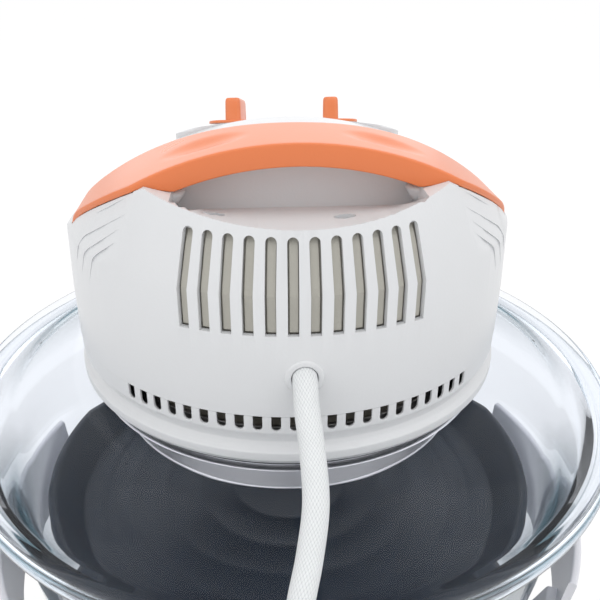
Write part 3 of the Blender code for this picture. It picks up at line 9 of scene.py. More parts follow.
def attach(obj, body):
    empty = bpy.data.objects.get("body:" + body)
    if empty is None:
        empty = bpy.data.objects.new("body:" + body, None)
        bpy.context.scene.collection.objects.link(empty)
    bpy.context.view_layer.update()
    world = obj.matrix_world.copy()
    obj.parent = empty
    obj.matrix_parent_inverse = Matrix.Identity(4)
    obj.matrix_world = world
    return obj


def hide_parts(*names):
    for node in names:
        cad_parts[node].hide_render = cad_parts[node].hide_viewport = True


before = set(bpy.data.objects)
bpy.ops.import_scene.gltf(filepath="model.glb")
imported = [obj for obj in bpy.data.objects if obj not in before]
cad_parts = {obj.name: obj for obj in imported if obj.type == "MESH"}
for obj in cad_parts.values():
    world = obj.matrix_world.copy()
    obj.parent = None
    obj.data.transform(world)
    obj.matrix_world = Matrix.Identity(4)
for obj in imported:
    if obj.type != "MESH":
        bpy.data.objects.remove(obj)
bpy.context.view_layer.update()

# Camera
# The photograph was taken from behind and above, close to the lid, with a short lens.
# The place and the axes were solved from the rim, ring and shroud ellipses.
CAMERA_AT = Vector((0.0186, 0.3206, 0.3747))
CAMERA_RIGHT = Vector((-0.99724, 0.07411, 0.00417))
CAMERA_UP = Vector((-0.03001, -0.45385, 0.89058))
LENS = 42.0
camera_data = bpy.data.cameras.new("camera")
camera_data.lens = LENS
camera_data.sensor_width = 36.0
camera_data.clip_start = 0.01
camera = bpy.data.objects.new("camera", camera_data)
bpy.context.collection.objects.link(camera)
back = CAMERA_RIGHT.cross(CAMERA_UP)
axes = Matrix((CAMERA_RIGHT, CAMERA_UP, back)).transposed()
camera.matrix_world = Matrix.Translation(CAMERA_AT) @ axes.to_4x4()
bpy.context.scene.camera = camera
bpy.context.scene.view_settings.view_transform = "Standard"

# Studio
# A plain pale floor that reads as the photograph's white ground, with broad soft lights.
# The floor keeps a faint contact shadow; the light itself stays moderate so that whites hold their shape.
FLOOR_HALF = 6.0
FLOOR_LEVEL = -0.0002
FLOOR_WHITE = (0.93, 0.93, 0.93, 1)
FLOOR_GLOW = 1.05
GLOW_SHARE = 0.86
SKY_WHITE = (0.99, 0.99, 1.0, 1)
SKY_LIGHT = 0.74
SKY_SEEN = 1.03
HEAD_MIDDLE = (0, 0, 0.24)
LIGHTS = (("key", (-0.9, 0.5, 1.3), 1.8, 5.5), ("fill", (1.1, 0.9, 0.9), 1.8, 4.5),
          ("top", (0.0, 0.25, 1.6), 1.9, 5.5), ("front", (0.0, -1.6, 0.95), 1.7, 4.5))
floor_mesh = bpy.data.meshes.new("floor")
corners = ((-FLOOR_HALF, -FLOOR_HALF), (FLOOR_HALF, -FLOOR_HALF), (FLOOR_HALF, FLOOR_HALF),
           (-FLOOR_HALF, FLOOR_HALF))
floor_mesh.from_pydata([(x, y, FLOOR_LEVEL) for x, y in corners], [], [(0, 1, 2, 3)])
floor = bpy.data.objects.new("floor", floor_mesh)
bpy.context.collection.objects.link(floor)


def feed(tree, node, values):
    """Set a node's inputs, by name or number, to plain values or feed them from sockets."""
    for key, value in values.items():
        if isinstance(value, bpy.types.NodeSocket):
            tree.links.new(value, node.inputs[key])
        else:
            node.inputs[key].default_value = value


def new_node(tree, kind, values):
    """A shader node with its inputs set or fed."""
    node = tree.nodes.new(f"ShaderNode{kind}")
    feed(tree, node, values)
    return node


def math_node(tree, operation, *values):
    """The result of a Math node fed by sockets or by plain numbers."""
    node = new_node(tree, "Math", dict(enumerate(values)))
    node.operation = operation
    return node.outputs[0]


def new_material(name):
    """A material with its node tree and its Principled shader."""
    material = bpy.data.materials.new(name)
    material.use_nodes = True
    return material, material.node_tree, material.node_tree.nodes["Principled BSDF"]


def seen_share(tree):
    """One on rays that the camera sends out itself or through glass and gloss, nought on all others."""
    path = tree.nodes.new("ShaderNodeLightPath")
    seen = math_node(tree, "MAXIMUM", path.outputs["Is Camera Ray"], path.outputs["Is Transmission Ray"])
    return math_node(tree, "MAXIMUM", seen, path.outputs["Is Glossy Ray"])


floor_look, tree, shader = new_material("floor")
feed(tree, shader, {"Base Color": FLOOR_WHITE, "Roughness": 0.9})
glow = new_node(tree, "Emission", {"Color": (1, 1, 1, 1), "Strength": FLOOR_GLOW})
amount = math_node(tree, "MULTIPLY", seen_share(tree), GLOW_SHARE)
blend = new_node(tree, "MixShader", {0: amount, 1: shader.outputs[0], 2: glow.outputs[0]})
feed(tree, tree.nodes["Material Output"], {"Surface": blend.outputs[0]})
floor_mesh.materials.append(floor_look)

world = bpy.data.worlds.new("studio")
world.use_nodes = True
tree = world.node_tree
bright = new_node(tree, "MapRange", {"To Min": SKY_LIGHT, "To Max": SKY_SEEN, "Value": seen_share(tree)})
feed(tree, tree.nodes["Background"], {"Color": SKY_WHITE, "Strength": bright.outputs[0]})
bpy.context.scene.world = world

for name, place, size, power in LIGHTS:
    data = bpy.data.lights.new(name, "AREA")
    data.size = size
    data.energy = power
    light = bpy.data.objects.new(name, data)
    bpy.context.collection.objects.link(light)
    facing = (Vector(HEAD_MIDDLE) - Vector(place)).to_track_quat("-Z", "Y")
    light.matrix_world = Matrix.Translation(place) @ facing.to_matrix().to_4x4()

# Power cord
# A rubber-sheathed lead in a white textile braid, pushed through a snug bush in the back of the head.
# It drops over the lid's rim to the worktop; the unseen length lies there in a coil, tied, with its plug.
TURN = 2 * math.pi
CORD_RADIUS = 0.00475
CORD_START = 0.09305
CORD_HEIGHT = 0.2305
CORD_ROUTE = ((0, 0.1035, 0.2303), (0, 0.114, 0.2235), (-0.001, 0.124, 0.2145), (-0.001, 0.14, 0.204),
              (0.002, 0.152, 0.192), (0.006, 0.1635, 0.1822), (0.008, 0.1712, 0.169), (0.009, 0.1735, 0.14),
              (0.01, 0.174, 0.09), (0.009, 0.179, 0.048), (0.008, 0.193, 0.018), (0.007, 0.22, 0.0066))
COIL_RADIUS = 0.052
COIL_STEP = 0.0115
COIL_RISE = 0.0100
COIL_TURNS = 1.125
COIL_MIDDLE = (-0.050, 0.296)
COIL_FLOOR = CORD_RADIUS + 0.0018
PLUG_LEAD = 0.078
CORD_SIDES = 20
CORD_STEP = 0.0012
BRAID_PITCH = 0.0042
BRAID_STRANDS = 12
# The grey stop is painted shade in the grooves between the braid's strands; the lighter stop is the braid's own
# white.
BRAID_GROOVE_SHADE_STOPS = ((0.0, (0.60, 0.62, 0.63, 1)), (0.45, (0.82, 0.84, 0.845, 1)))


def smooth_route(points, step):
    """Evenly spaced points of a smooth curve through the route's points."""
    route = [Vector(point) for point in points]
    spans = len(route) - 1
    fine = []
    for index in range(spans):
        before = route[max(0, index - 1)]
        start = route[index]
        end = route[index + 1]
        after = route[min(spans, index + 2)]
        for k in range(24):
            t = k / 24
            pull = (end - before) * t + (before * 2 - start * 5 + end * 4 - after) * t ** 2
            fine.append(start + (pull + (start * 3 - before - end * 3 + after) * t ** 3) / 2)
    fine.append(route[-1])
    lengths = [0]
    for near, far in zip(fine, fine[1:]):
        lengths.append(lengths[-1] + (far - near).length)
    count = max(2, round(lengths[-1] / step))
    result = []
    place = 0
    for k in range(count + 1):
        wanted = lengths[-1] * k / count
        while place < len(fine) - 2 and lengths[place + 1] < wanted:
            place += 1
        share = (wanted - lengths[place]) / (lengths[place + 1] - lengths[place])
        result.append(fine[place].lerp(fine[place + 1], share))
    return result


def coil_points(count):
    """The coil winds in on the worktop, climbs a layer and winds out again."""
    inner = COIL_RADIUS - COIL_STEP * COIL_TURNS / 2
    wound = COIL_TURNS * 2 + 1 / 2
    total = round(wound * count)
    points = []
    for k in range(total + 1):
        turned_by = wound * k / total
        into = max(0, COIL_TURNS - turned_by)
        out = max(0, turned_by - COIL_TURNS - 1 / 2)
        climb = min(1, max(0, (turned_by - COIL_TURNS) * 2))
        radius = inner + COIL_STEP * (into + out)
        angle = TURN * turned_by
        points.append(Vector((COIL_MIDDLE[0] + radius * math.cos(angle),
                              COIL_MIDDLE[1] + radius * math.sin(angle), COIL_FLOOR + COIL_RISE * climb)))
    return points


def new_mesh(bm):
    """The mesh that was built, as a mesh of its own."""
    mesh = bpy.data.meshes.new("mesh")
    bm.to_mesh(mesh)
    bm.free()
    return mesh


def tube_mesh(points, radius, sides):
    """A round tube along the points, with the run and the turn kept as UV in metres and turns."""
    bm = bmesh.new()
    layer = bm.loops.layers.uv.new("run")
    rings = []
    runs = [0]
    across = Vector((1, 0, 0))
    for index, point in enumerate(points):
        before = points[max(0, index - 1)]
        after = points[min(len(points) - 1, index + 1)]
        along = (after - before).normalized()
        across = (across - along * across.dot(along)).normalized()
        side = along.cross(across)
        ring = []
        for k in range(sides):
            angle = TURN * k / sides
            ring.append(bm.verts.new(point + (across * math.cos(angle) + side * math.sin(angle)) * radius))
        rings.append(ring)
        if index:
            runs.append(runs[-1] + (point - points[index - 1]).length)
    for index in range(len(rings) - 1):
        near = rings[index]
        far = rings[index + 1]
        for k in range(sides):
            m = (k + 1) % sides
            face = bm.faces.new((near[k], near[m], far[m], far[k]))
            face.smooth = True
            corners = ((runs[index], k), (runs[index], k + 1), (runs[index + 1], k + 1), (runs[index + 1], k))
            for loop, (run, turn) in zip(face.loops, corners):
                loop[layer].uv = (run, turn / sides)
    bm.faces.new(list(reversed(rings[0])))
    bm.faces.new(rings[-1])
    return new_mesh(bm)


def add(name, mesh, look, body, *nodes):
    """Link a mesh as a piece with its material, stand it for its CAD nodes and let it ride on a body."""
    mesh.name = name
    mesh.materials.append(look)
    piece = bpy.data.objects.new(name, mesh)
    bpy.context.collection.objects.link(piece)
    if nodes:
        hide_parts(*nodes)
    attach(piece, body)
    return piece


def ramp_node(tree, source, stops):
    """The colour of a ramp between two stops, each a position and a colour."""
    ramp = new_node(tree, "ValToRGB", {0: source})
    for element, (position, color) in zip(ramp.color_ramp.elements, stops):
        element.position = position
        element.color = color
    return ramp.outputs[0]


braid, tree, shader = new_material("white_braid")
place = tree.nodes.new("ShaderNodeUVMap")
place.uv_map = "run"
split = new_node(tree, "SeparateXYZ", {0: place.outputs[0]})
run = math_node(tree, "MULTIPLY", split.outputs[0], TURN / BRAID_PITCH)
turn = math_node(tree, "MULTIPLY", split.outputs[1], TURN * BRAID_STRANDS)
one = math_node(tree, "SINE", math_node(tree, "ADD", turn, run))
two = math_node(tree, "SINE", math_node(tree, "SUBTRACT", turn, run))
weave = math_node(tree, "MULTIPLY", math_node(tree, "ABSOLUTE", one), math_node(tree, "ABSOLUTE", two))
weave = math_node(tree, "POWER", weave, 0.6)
fine = math_node(tree, "SINE", math_node(tree, "MULTIPLY", math_node(tree, "ADD", turn, run), 5.0))
height = math_node(tree, "ADD", weave, math_node(tree, "MULTIPLY", fine, 0.08))
bump = new_node(tree, "Bump", {"Strength": 0.55, "Distance": 0.0004, "Height": height})
# The colour follows the weave: painted shade darkens the grooves between strands, and the strands' tops keep
# the braid's white.
feed(tree, shader, {"Base Color": ramp_node(tree, weave, BRAID_GROOVE_SHADE_STOPS), "Roughness": 0.72,
                    "Sheen Weight": 0.25, "Normal": bump.outputs[0]})

coil = coil_points(60)
lead_in = coil[0] - Vector((0, CORD_RADIUS * 2, 0))
settling = lead_in - Vector((0, CORD_RADIUS * 6, 0))
free = smooth_route([(0, CORD_START, CORD_HEIGHT), *CORD_ROUTE, settling, lead_in], CORD_STEP)
lead_out = [coil[-1] + Vector((PLUG_LEAD * k / 24, 0, 0)) for k in range(1, 25)]
cord_path = free + coil + lead_out
cord = add("braided_cord", tube_mesh(cord_path, CORD_RADIUS, CORD_SIDES), braid, "lid_and_head",
           "power_cord", "cord_coil")

# Glass bowl
# A pressed bowl of tempered soda-lime glass with a thick fire-polished rim.
# The wall is clear, with the glass's own faint teal tint; towards grazing views, as at the rim and the foot,
# its colour is painted a dark teal: painted shade over that tint.
GLASS_SIDES = 160
BOWL_WALL = 0.0045
RIM_RADIUS = 0.165
RIM_TOP = 0.168
RIM_BEAD = 0.00375
BOWL_FOOT = 0.012
BOWL_OUTLINE = ((0.104, 0), (0.120, 0.0056), (0.1315, 0.0180), (0.136, 0.033), (0.146, 0.088),
                (0.1505, 0.128), (0.1580, 0.1478))
# Near white where the glass faces the view, near-black teal at grazing views: painted shade over the glass's
# own tint.
GLASS_EDGE_SHADE_STOPS = ((0.58, (0.965, 0.972, 1.0, 1)), (0.86, (0.035, 0.09, 0.12, 1)))
GLASS_BODY = (0.50, 0.68, 0.75, 1)
GLASS_SHADE = (0.93, 0.945, 0.96, 1)


def fillet(points, radius, steps=4, closed=True):
    """Round every corner of an outline by up to the radius."""
    result = []
    count = len(points)
    for index in range(count):
        point = Vector(points[index])
        if not closed and index in (0, count - 1):
            result.append(tuple(point))
            continue
        before = Vector(points[index - 1])
        after = Vector(points[(index + 1) % count])
        one = before - point
        two = after - point
        if one.length < 1e-7 or two.length < 1e-7:
            continue
        start = point + one.normalized() * min(radius, one.length * 0.45)
        end = point + two.normalized() * min(radius, two.length * 0.45)
        for k in range(steps + 1):
            t = k / steps
            result.append(tuple(start * (1 - t) ** 2 + point * 2 * t * (1 - t) + end * t ** 2))
    return result


def bead(r, z, radius, first, last, steps):
    """An arc of the radius and height plane, in degrees."""
    points = []
    for k in range(steps + 1):
        angle = math.radians(first + (last - first) * k / steps)
        points.append((r + radius * math.cos(angle), z + radius * math.sin(angle)))
    return points


def lathe(outline, sides, start=0, sweep=TURN):
    """A closed outline of radius and height turned about the upright axis."""
    bm = bmesh.new()
    whole = sweep == TURN
    count = sides if whole else sides + 1
    rings = []
    for index in range(count):
        angle = start + sweep * index / sides
        rings.append([bm.verts.new((r * math.cos(angle), r * math.sin(angle), z)) for r, z in outline])
    for index in range(sides):
        near = rings[index]
        far = rings[(index + 1) % count]
        for k in range(len(outline)):
            m = (k + 1) % len(outline)
            bm.faces.new((near[k], far[k], far[m], near[m]))
    if not whole:
        bm.faces.new(rings[0])
        bm.faces.new(rings[-1])
    bmesh.ops.remove_doubles(bm, verts=bm.verts, dist=1e-6)
    bmesh.ops.recalc_face_normals(bm, faces=bm.faces)
    mesh = new_mesh(bm)
    mesh.shade_smooth()
    mesh.set_sharp_from_angle(angle=math.radians(40))
    return mesh


glass, tree, shader = new_material("clear_glass")
edge = new_node(tree, "LayerWeight", {"Blend": 0.5})
place = tree.nodes.new("ShaderNodeTexCoord")
smear = new_node(tree, "TexNoise", {"Scale": 9.0, "Detail": 5.0, "Vector": place.outputs["Object"]})
soft = new_node(tree, "MapRange", {"From Min": 0.45, "From Max": 0.8, "To Min": 0.0, "To Max": 0.05,
                                   "Value": smear.outputs["Fac"]})
# The colour darkens towards grazing views by the facing ramp: painted shade; the volume absorption below is the
# glass's own tint.
feed(tree, shader, {"Base Color": ramp_node(tree, edge.outputs["Facing"], GLASS_EDGE_SHADE_STOPS), "IOR": 1.45,
                    "Roughness": soft.outputs[0], "Transmission Weight": 1.0, "Specular IOR Level": 0.14})
tint = new_node(tree, "VolumeAbsorption", {"Color": GLASS_BODY, "Density": 16.0})
through = new_node(tree, "BsdfTransparent", {"Color": GLASS_SHADE})
path = tree.nodes.new("ShaderNodeLightPath")
unlit = new_node(tree, "MixShader", {0: path.outputs["Is Shadow Ray"], 1: shader.outputs[0],
                                     2: through.outputs[0]})
feed(tree, tree.nodes["Material Output"], {"Surface": unlit.outputs[0], "Volume": tint.outputs[0]})


def offset(points, distance):
    """The open line of radius and height moved square to itself, so that a wall keeps its thickness."""
    moved = []
    last = len(points) - 1
    for index, point in enumerate(points):
        along = (Vector(points[min(last, index + 1)]) - Vector(points[max(0, index - 1)])).normalized()
        moved.append((point[0] - along.y * distance, point[1] + along.x * distance))
    return moved


wall_line = [(0, BOWL_FOOT), (0.05, BOWL_FOOT)]
wall_line += fillet([(r, BOWL_FOOT + z) for r, z in BOWL_OUTLINE], 0.010, 8, False)
inner_line = [(max(0, r), z) for r, z in offset(wall_line, BOWL_WALL)]
rim = bead(RIM_RADIUS - RIM_BEAD, RIM_TOP - RIM_BEAD, RIM_BEAD, -70, 175, 20)
outline = wall_line + rim + list(reversed(inner_line))
add("pressed_bowl", lathe(outline, GLASS_SIDES), glass, "bowl", "glass_bowl")

# Glass lid
# A pressed lid of the same glass: a round bead that sits on the bowl's rim, a shallow valley inside it
# and a low dome up to the hole where the head is clamped.
LID_LOW = RIM_TOP + 0.0005
LID_BEAD = 0.0030
LID_EDGE = 0.1637
LID_WALL = 0.0045
LID_TOP_LINE = ((0.1568, 0.1726), (0.154, 0.1725), (0.1443, 0.1743), (0.1347, 0.17975), (0.1153, 0.1852),
                (0.0982, 0.187))
LID_HOLE = ((0.096, 0.1847), (0.0982, 0.1825))
thin_glass = glass.copy()
thin_glass.name = "clear_lid_glass"
feed(thin_glass.node_tree, thin_glass.node_tree.nodes["Principled BSDF"], {"IOR": 1.16})
feed(thin_glass.node_tree, thin_glass.node_tree.nodes["Volume Absorption"], {"Density": 9.0})
outline = bead(LID_EDGE - LID_BEAD, LID_LOW + LID_BEAD, LID_BEAD, -90, 90, 12)
top_line = fillet(LID_TOP_LINE, 0.009, 8, False)
under_line = [point for point in offset(top_line, LID_WALL) if 0.099 < point[0] < 0.1545]
outline += top_line + list(LID_HOLE) + list(reversed(under_line))
add("pressed_lid", lathe(outline, GLASS_SIDES), thin_glass, "lid_and_head", "glass_lid")

# Stand
# An injection-moulded stand in white polypropylene: a cup for the bowl on a foot ring, and on two arms at
# each side a curved grip that stands off the glass, seen grey through the bowl.
STAND_OUTLINE = ((0.085, 0.003), (0.128, 0.003), (0.1334, 0.024), (0.1274, 0.024), (0.12045, 0.0173),
                 (0.1046, 0.0117), (0.085, 0.0117))
GRIP_OUTLINE = ((0.154, 0.054), (0.158, 0.054), (0.163, 0.094), (0.159, 0.094))
GRIP_SPAN = math.radians(56)
GRIP_TURN = math.radians(5)
ARM_SPAN = math.radians(6)
ARM_OUTLINE = ((0.1225, 0.0065), (0.1295, 0.0065), (0.1562, 0.0485), (0.1562, 0.066), (0.1505, 0.066),
               (0.1310, 0.021))


def new_group(name, inputs, outputs):
    """A node group with its named sockets: its tree, its inputs and its output node."""
    tree = bpy.data.node_groups.new(name, "ShaderNodeTree")
    for way, sockets in (("INPUT", inputs), ("OUTPUT", outputs)):
        for word, kind in sockets:
            tree.interface.new_socket(name=word, in_out=way, socket_type=f"NodeSocket{kind}")
    return tree, tree.nodes.new("NodeGroupInput").outputs, tree.nodes.new("NodeGroupOutput")


moulded_skin, given, result = new_group(
    "moulded_skin",
    (("Tint", "Color"), ("Grain Scale", "Float"), ("Grain Depth", "Float"), ("Gloss", "Float")),
    (("Color", "Color"), ("Roughness", "Float"), ("Normal", "Vector")))
place = moulded_skin.nodes.new("ShaderNodeTexCoord").outputs["Object"]
drift = new_node(moulded_skin, "TexNoise", {"Scale": 14.0, "Detail": 3.0, "Vector": place}).outputs["Fac"]
grain = new_node(moulded_skin, "TexNoise", {"Scale": given["Grain Scale"], "Detail": 2.0, "Vector": place})
shade = new_node(moulded_skin, "MapRange", {"To Min": 0.955, "To Max": 1.02, "Value": drift})
tinted = new_node(moulded_skin, "VectorMath", {0: given["Tint"]})
tinted.operation = "SCALE"
feed(moulded_skin, tinted, {"Scale": shade.outputs[0]})
gloss = new_node(moulded_skin, "MapRange", {"To Min": -0.05, "To Max": 0.07, "Value": drift})
bump = new_node(moulded_skin, "Bump", {"Strength": given["Grain Depth"], "Distance": 0.0004,
                                       "Height": grain.outputs["Fac"]})
feed(moulded_skin, result, {"Color": tinted.outputs[0], "Normal": bump.outputs[0],
                            "Roughness": math_node(moulded_skin, "ADD", given["Gloss"], gloss.outputs[0])})


def plastic(name, color, roughness, scale=900.0, depth=0.12):
    """Moulded plastic: a slow drift of its tint, a fine grain and small changes of gloss."""
    look, tree, shader = new_material(name)
    skin = tree.nodes.new("ShaderNodeGroup")
    skin.node_tree = moulded_skin
    feed(tree, skin, {"Tint": (*color, 1), "Grain Scale": scale, "Grain Depth": depth, "Gloss": roughness})
    feed(tree, shader, {"Base Color": skin.outputs["Color"], "Roughness": skin.outputs["Roughness"],
                        "Normal": skin.outputs["Normal"]})
    return look


def finish(look, *names):
    """Give the frame's own solids a material."""
    for name in names:
        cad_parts[name].data.materials.clear()
        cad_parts[name].data.materials.append(look)


stand_white = plastic("stand_white", (0.80, 0.80, 0.84), 0.42, 600.0, 0.3)
rubber = plastic("dark_rubber", (0.030, 0.034, 0.036), 0.62, 1400.0, 0.4)
finish(rubber, "stand_foot_1", "stand_foot_2", "stand_foot_3", "stand_foot_4")
add("stand_cup", lathe(fillet(STAND_OUTLINE, 0.0015, 3), GLASS_SIDES), stand_white, "stand", "base_stand")
for word, side in (("right", 0), ("left", math.pi)):
    start = side + GRIP_TURN * (1 if side == 0 else -1) - GRIP_SPAN / 2
    grip = lathe(fillet(GRIP_OUTLINE, 0.0016, 4), 48, start, GRIP_SPAN)
    add(f"grip_{word}", grip, stand_white, "stand", "base_stand")
    for end, at in (("front", start + ARM_SPAN / 4), ("back", start + GRIP_SPAN - ARM_SPAN * 5 / 4)):
        arm = lathe(fillet(ARM_OUTLINE, 0.0015, 3), 6, at, ARM_SPAN)
        add(f"arm_{word}_{end}", arm, stand_white, "stand", "base_stand")

# Non-stick pan
# A spun steel pan with a rolled rim and a sloped wall, coated in a black non-stick finish with fine specks.
# Its floor carries low raised rings.
PAN_FLOOR = 0.0915
PAN_SHEET = 0.0016
PAN_RINGS = (0.1035, 0.092, 0.0720, 0.0517, 0.0320)
RING_SHAPE = ((0.0030, 0), (0.0015, 0.0004), (0, 0.0005), (-0.0015, 0.0004), (-0.0030, 0))
PAN_OUTLINE = ((0.1330, 0.1070), (0.1330, 0.1102), (0.1314, 0.1110), (0.1296, 0.1110), (0.1280, 0.1094),
               (0.1166, 0.0931), (0.1134, PAN_FLOOR))
PAN_BLACK = (0.012, 0.020, 0.033, 1)
PAN_SPECK = (0.022, 0.031, 0.046, 1)
coating, tree, shader = new_material("nonstick_coating")
place = tree.nodes.new("ShaderNodeTexCoord").outputs["Object"]
speck = new_node(tree, "TexVoronoi", {"Scale": 700.0, "Vector": place})
colour = tree.nodes.new("ShaderNodeMix")
colour.data_type = "RGBA"
feed(tree, colour, {"A": PAN_BLACK, "B": PAN_SPECK,
                    "Factor": math_node(tree, "LESS_THAN", speck.outputs["Distance"], 0.16)})
rub = new_node(tree, "TexNoise", {"Scale": 26.0, "Detail": 5.0, "Vector": place}).outputs["Fac"]
gloss = new_node(tree, "MapRange", {"To Min": 0.30, "To Max": 0.50, "Value": rub})
bump = new_node(tree, "Bump", {"Strength": 0.10, "Distance": 0.0004, "Height": rub})
feed(tree, shader, {"Base Color": colour.outputs["Result"], "Roughness": gloss.outputs[0],
                    "Normal": bump.outputs[0], "Specular IOR Level": 0.35})

outline = fillet(PAN_OUTLINE, 0.0012, 4, False)
for r in PAN_RINGS:
    outline += [(r + out, PAN_FLOOR + up) for out, up in RING_SHAPE]
outline += [(0, PAN_FLOOR), (0, PAN_FLOOR - PAN_SHEET), (0.1150, PAN_FLOOR - PAN_SHEET), (0.1182, PAN_FLOOR),
            (0.1280, 0.1062)]
add("coated_pan", lathe(outline, GLASS_SIDES), coating, "pan", "nonstick_pan")

# Wire rack
# Chromed steel wire: a hoop with five bars across it and four legs, which carries the pan above the floor.
# It stands loose on the bowl's floor.
RACK_WIRE = 0.0020
RACK_LEVEL = 0.0876
RACK_RADIUS = 0.092


metal_grain, given, result = new_group(
    "metal_grain", (("Stretch", "Vector"), ("Scale", "Float"), ("Low", "Float"), ("High", "Float")),
    (("Roughness", "Float"), ("Normal", "Vector")))
place = metal_grain.nodes.new("ShaderNodeTexCoord").outputs["Object"]
turn = new_node(metal_grain, "Mapping", {"Vector": place, "Scale": given["Stretch"]})
grain = new_node(metal_grain, "TexNoise", {"Scale": given["Scale"], "Detail": 4.0, "Vector": turn.outputs[0]})
gloss = new_node(metal_grain, "MapRange", {"To Min": given["Low"], "To Max": given["High"],
                                           "Value": grain.outputs["Fac"]})
bump = new_node(metal_grain, "Bump", {"Strength": 0.08, "Distance": 0.0002, "Height": grain.outputs["Fac"]})
feed(metal_grain, result, {"Roughness": gloss.outputs[0], "Normal": bump.outputs[0]})


def metal(name, color, low, high, scale, stretch=(1, 1, 1)):
    """A bare metal: its gloss and a faint bump follow a noise that may be stretched to a brushed grain."""
    look, tree, shader = new_material(name)
    grain = tree.nodes.new("ShaderNodeGroup")
    grain.node_tree = metal_grain
    feed(tree, grain, {"Stretch": stretch, "Scale": scale, "Low": low, "High": high})
    feed(tree, shader, {"Base Color": (*color, 1), "Metallic": 1.0, "Roughness": grain.outputs["Roughness"],
                        "Normal": grain.outputs["Normal"]})
    return look


def ring_points(radius, count, x=0, y=0):
    """Points of a circle that starts half a step round."""
    angles = [TURN * (k + 0.5) / count for k in range(count)]
    return [(x + radius * math.cos(a), y + radius * math.sin(a)) for a in angles]


steel = metal("bright_steel", (0.70, 0.69, 0.70), 0.24, 0.40, 60.0, (1, 1, 22))
hoop = bead(RACK_RADIUS, RACK_LEVEL, RACK_WIRE, 0, 342, 19)
add("rack_hoop", lathe(hoop, 128), steel, "rack", "low_rack")
for index in range(5):
    y = RACK_RADIUS * (index - 2) / 2.75
    reach = math.sqrt(RACK_RADIUS ** 2 - y * y)
    bar = tube_mesh([Vector((x, y, RACK_LEVEL)) for x in (-reach, 0, reach)], RACK_WIRE * 0.7, 12)
    add(f"rack_bar_{index + 1}", bar, steel, "rack", "low_rack")
for index, (x, y) in enumerate(ring_points(RACK_RADIUS, 4)):
    top = Vector((x, y, RACK_LEVEL))
    foot = Vector((x, y, BOWL_FOOT + BOWL_WALL + 0.0004))
    leg = tube_mesh([top, (top + foot) / 2, foot], RACK_WIRE * 0.8, 12)
    add(f"rack_leg_{index + 1}", leg, steel, "rack", "low_rack")

# Heater shroud, gasket and clamp ring
# A spun stainless can hangs under the lid's hole; a black rubber gasket and a steel ring clamp the glass.
# The ring is drawn up by four screws under the head; the can's rolled lip hangs free inside the bowl.
SHROUD = ((0.0904, 0.1652), (0.0904, 0.1920), (0.0955, 0.1920), (0.0955, 0.1932), (0.0904, 0.1932),
          (0.0904, 0.1985), (0.0844, 0.1985), (0.0844, 0.1973), (0.0892, 0.1973), (0.0892, 0.1652))
CLAMP = ((0.0912, 0.1799), (0.0972, 0.1799), (0.0985, 0.1812), (0.0972, 0.1819), (0.0952, 0.1819),
         (0.0952, 0.1889), (0.0912, 0.1889))
GASKET = ((0.0976, 0.1873), (0.1000, 0.1873), (0.1000, 0.1889), (0.0976, 0.1889))
LIP_AT = (0.0898, 0.1658)
LIP_RADIUS = 0.0008
CLAMPED = (("spun_shroud", fillet(SHROUD, 0.0005, 3), steel, "heater_shroud"),
           ("shroud_lip", bead(*LIP_AT, LIP_RADIUS, 0, 330, 11), steel, "heater_shroud"),
           ("clamp_band", fillet(CLAMP, 0.0005, 3), steel, "clamp_ring"),
           ("soft_gasket", fillet(GASKET, 0.0004, 3), rubber, "lid_gasket"))
for name, outline, look, node in CLAMPED:
    add(name, lathe(outline, GLASS_SIDES), look, "lid_and_head", node)

# Lower ring of the head
# A moulded white ring with a round band, a groove and a row of U-shaped vents cut down from its top edge.
# The dark inside of the head shows through the vents.
RING_OUTLINE = ((0.0912, 0.1892), (0.1016, 0.1892), (0.1035, 0.1918), (0.1035, 0.1956), (0.1012, 0.1968),
                (0.0999, 0.1990), (0.1008, 0.2016), (0.1027, 0.2045), (0.1027, 0.2126), (0.1018, 0.2126),
                (0.1018, 0.2045), (0.0971, 0.1993), (0.0971, 0.1917), (0.0912, 0.1917))
RING_TOP = 0.2126
NOTCH_WIDTH = 0.0038
NOTCH_DEPTH = 0.0067
NOTCH_PITCH = math.radians(4.05)
NOTCH_COUNT = 22
NOTCH_REACH = (0.0975, 0.106)
HEAD_SIDES = 224


def loft_mesh(sections):
    """Like loops of points joined into one closed skin."""
    bm = bmesh.new()
    loops = [[bm.verts.new(point) for point in section] for section in sections]
    size = len(loops[0])
    for near, far in zip(loops, loops[1:]):
        for k in range(size):
            m = (k + 1) % size
            bm.faces.new((near[k], near[m], far[m], far[k]))
    bm.faces.new(loops[0])
    bm.faces.new(loops[-1])
    bmesh.ops.recalc_face_normals(bm, faces=bm.faces)
    return new_mesh(bm)


def carve(mesh, tools, operation="DIFFERENCE", bevel=0.0, sharp=32):
    """The mesh with each tool's mesh taken out of it or joined to it, and its edges eased."""
    piece = bpy.data.objects.new("blank", mesh)
    bpy.context.collection.objects.link(piece)
    helpers = []
    for index, tool in enumerate(tools):
        helper = bpy.data.objects.new("tool", tool)
        bpy.context.collection.objects.link(helper)
        helpers.append(helper)
        change = piece.modifiers.new(f"cut_{index}", "BOOLEAN")
        change.operation = operation
        change.solver = "EXACT"
        change.object = helper
    if bevel:
        ease = piece.modifiers.new("ease", "BEVEL")
        ease.width = bevel
        ease.segments = 2
        ease.limit_method = "ANGLE"
        ease.angle_limit = math.radians(sharp)
    graph = bpy.context.evaluated_depsgraph_get()
    result = bpy.data.meshes.new_from_object(piece.evaluated_get(graph))
    bpy.data.objects.remove(piece)
    for helper in helpers:
        bpy.data.objects.remove(helper)
    result.shade_smooth()
    result.set_sharp_from_angle(angle=math.radians(sharp))
    return result


def joined(meshes):
    """Several meshes put together in one."""
    bm = bmesh.new()
    for mesh in meshes:
        bm.from_mesh(mesh)
    return new_mesh(bm)


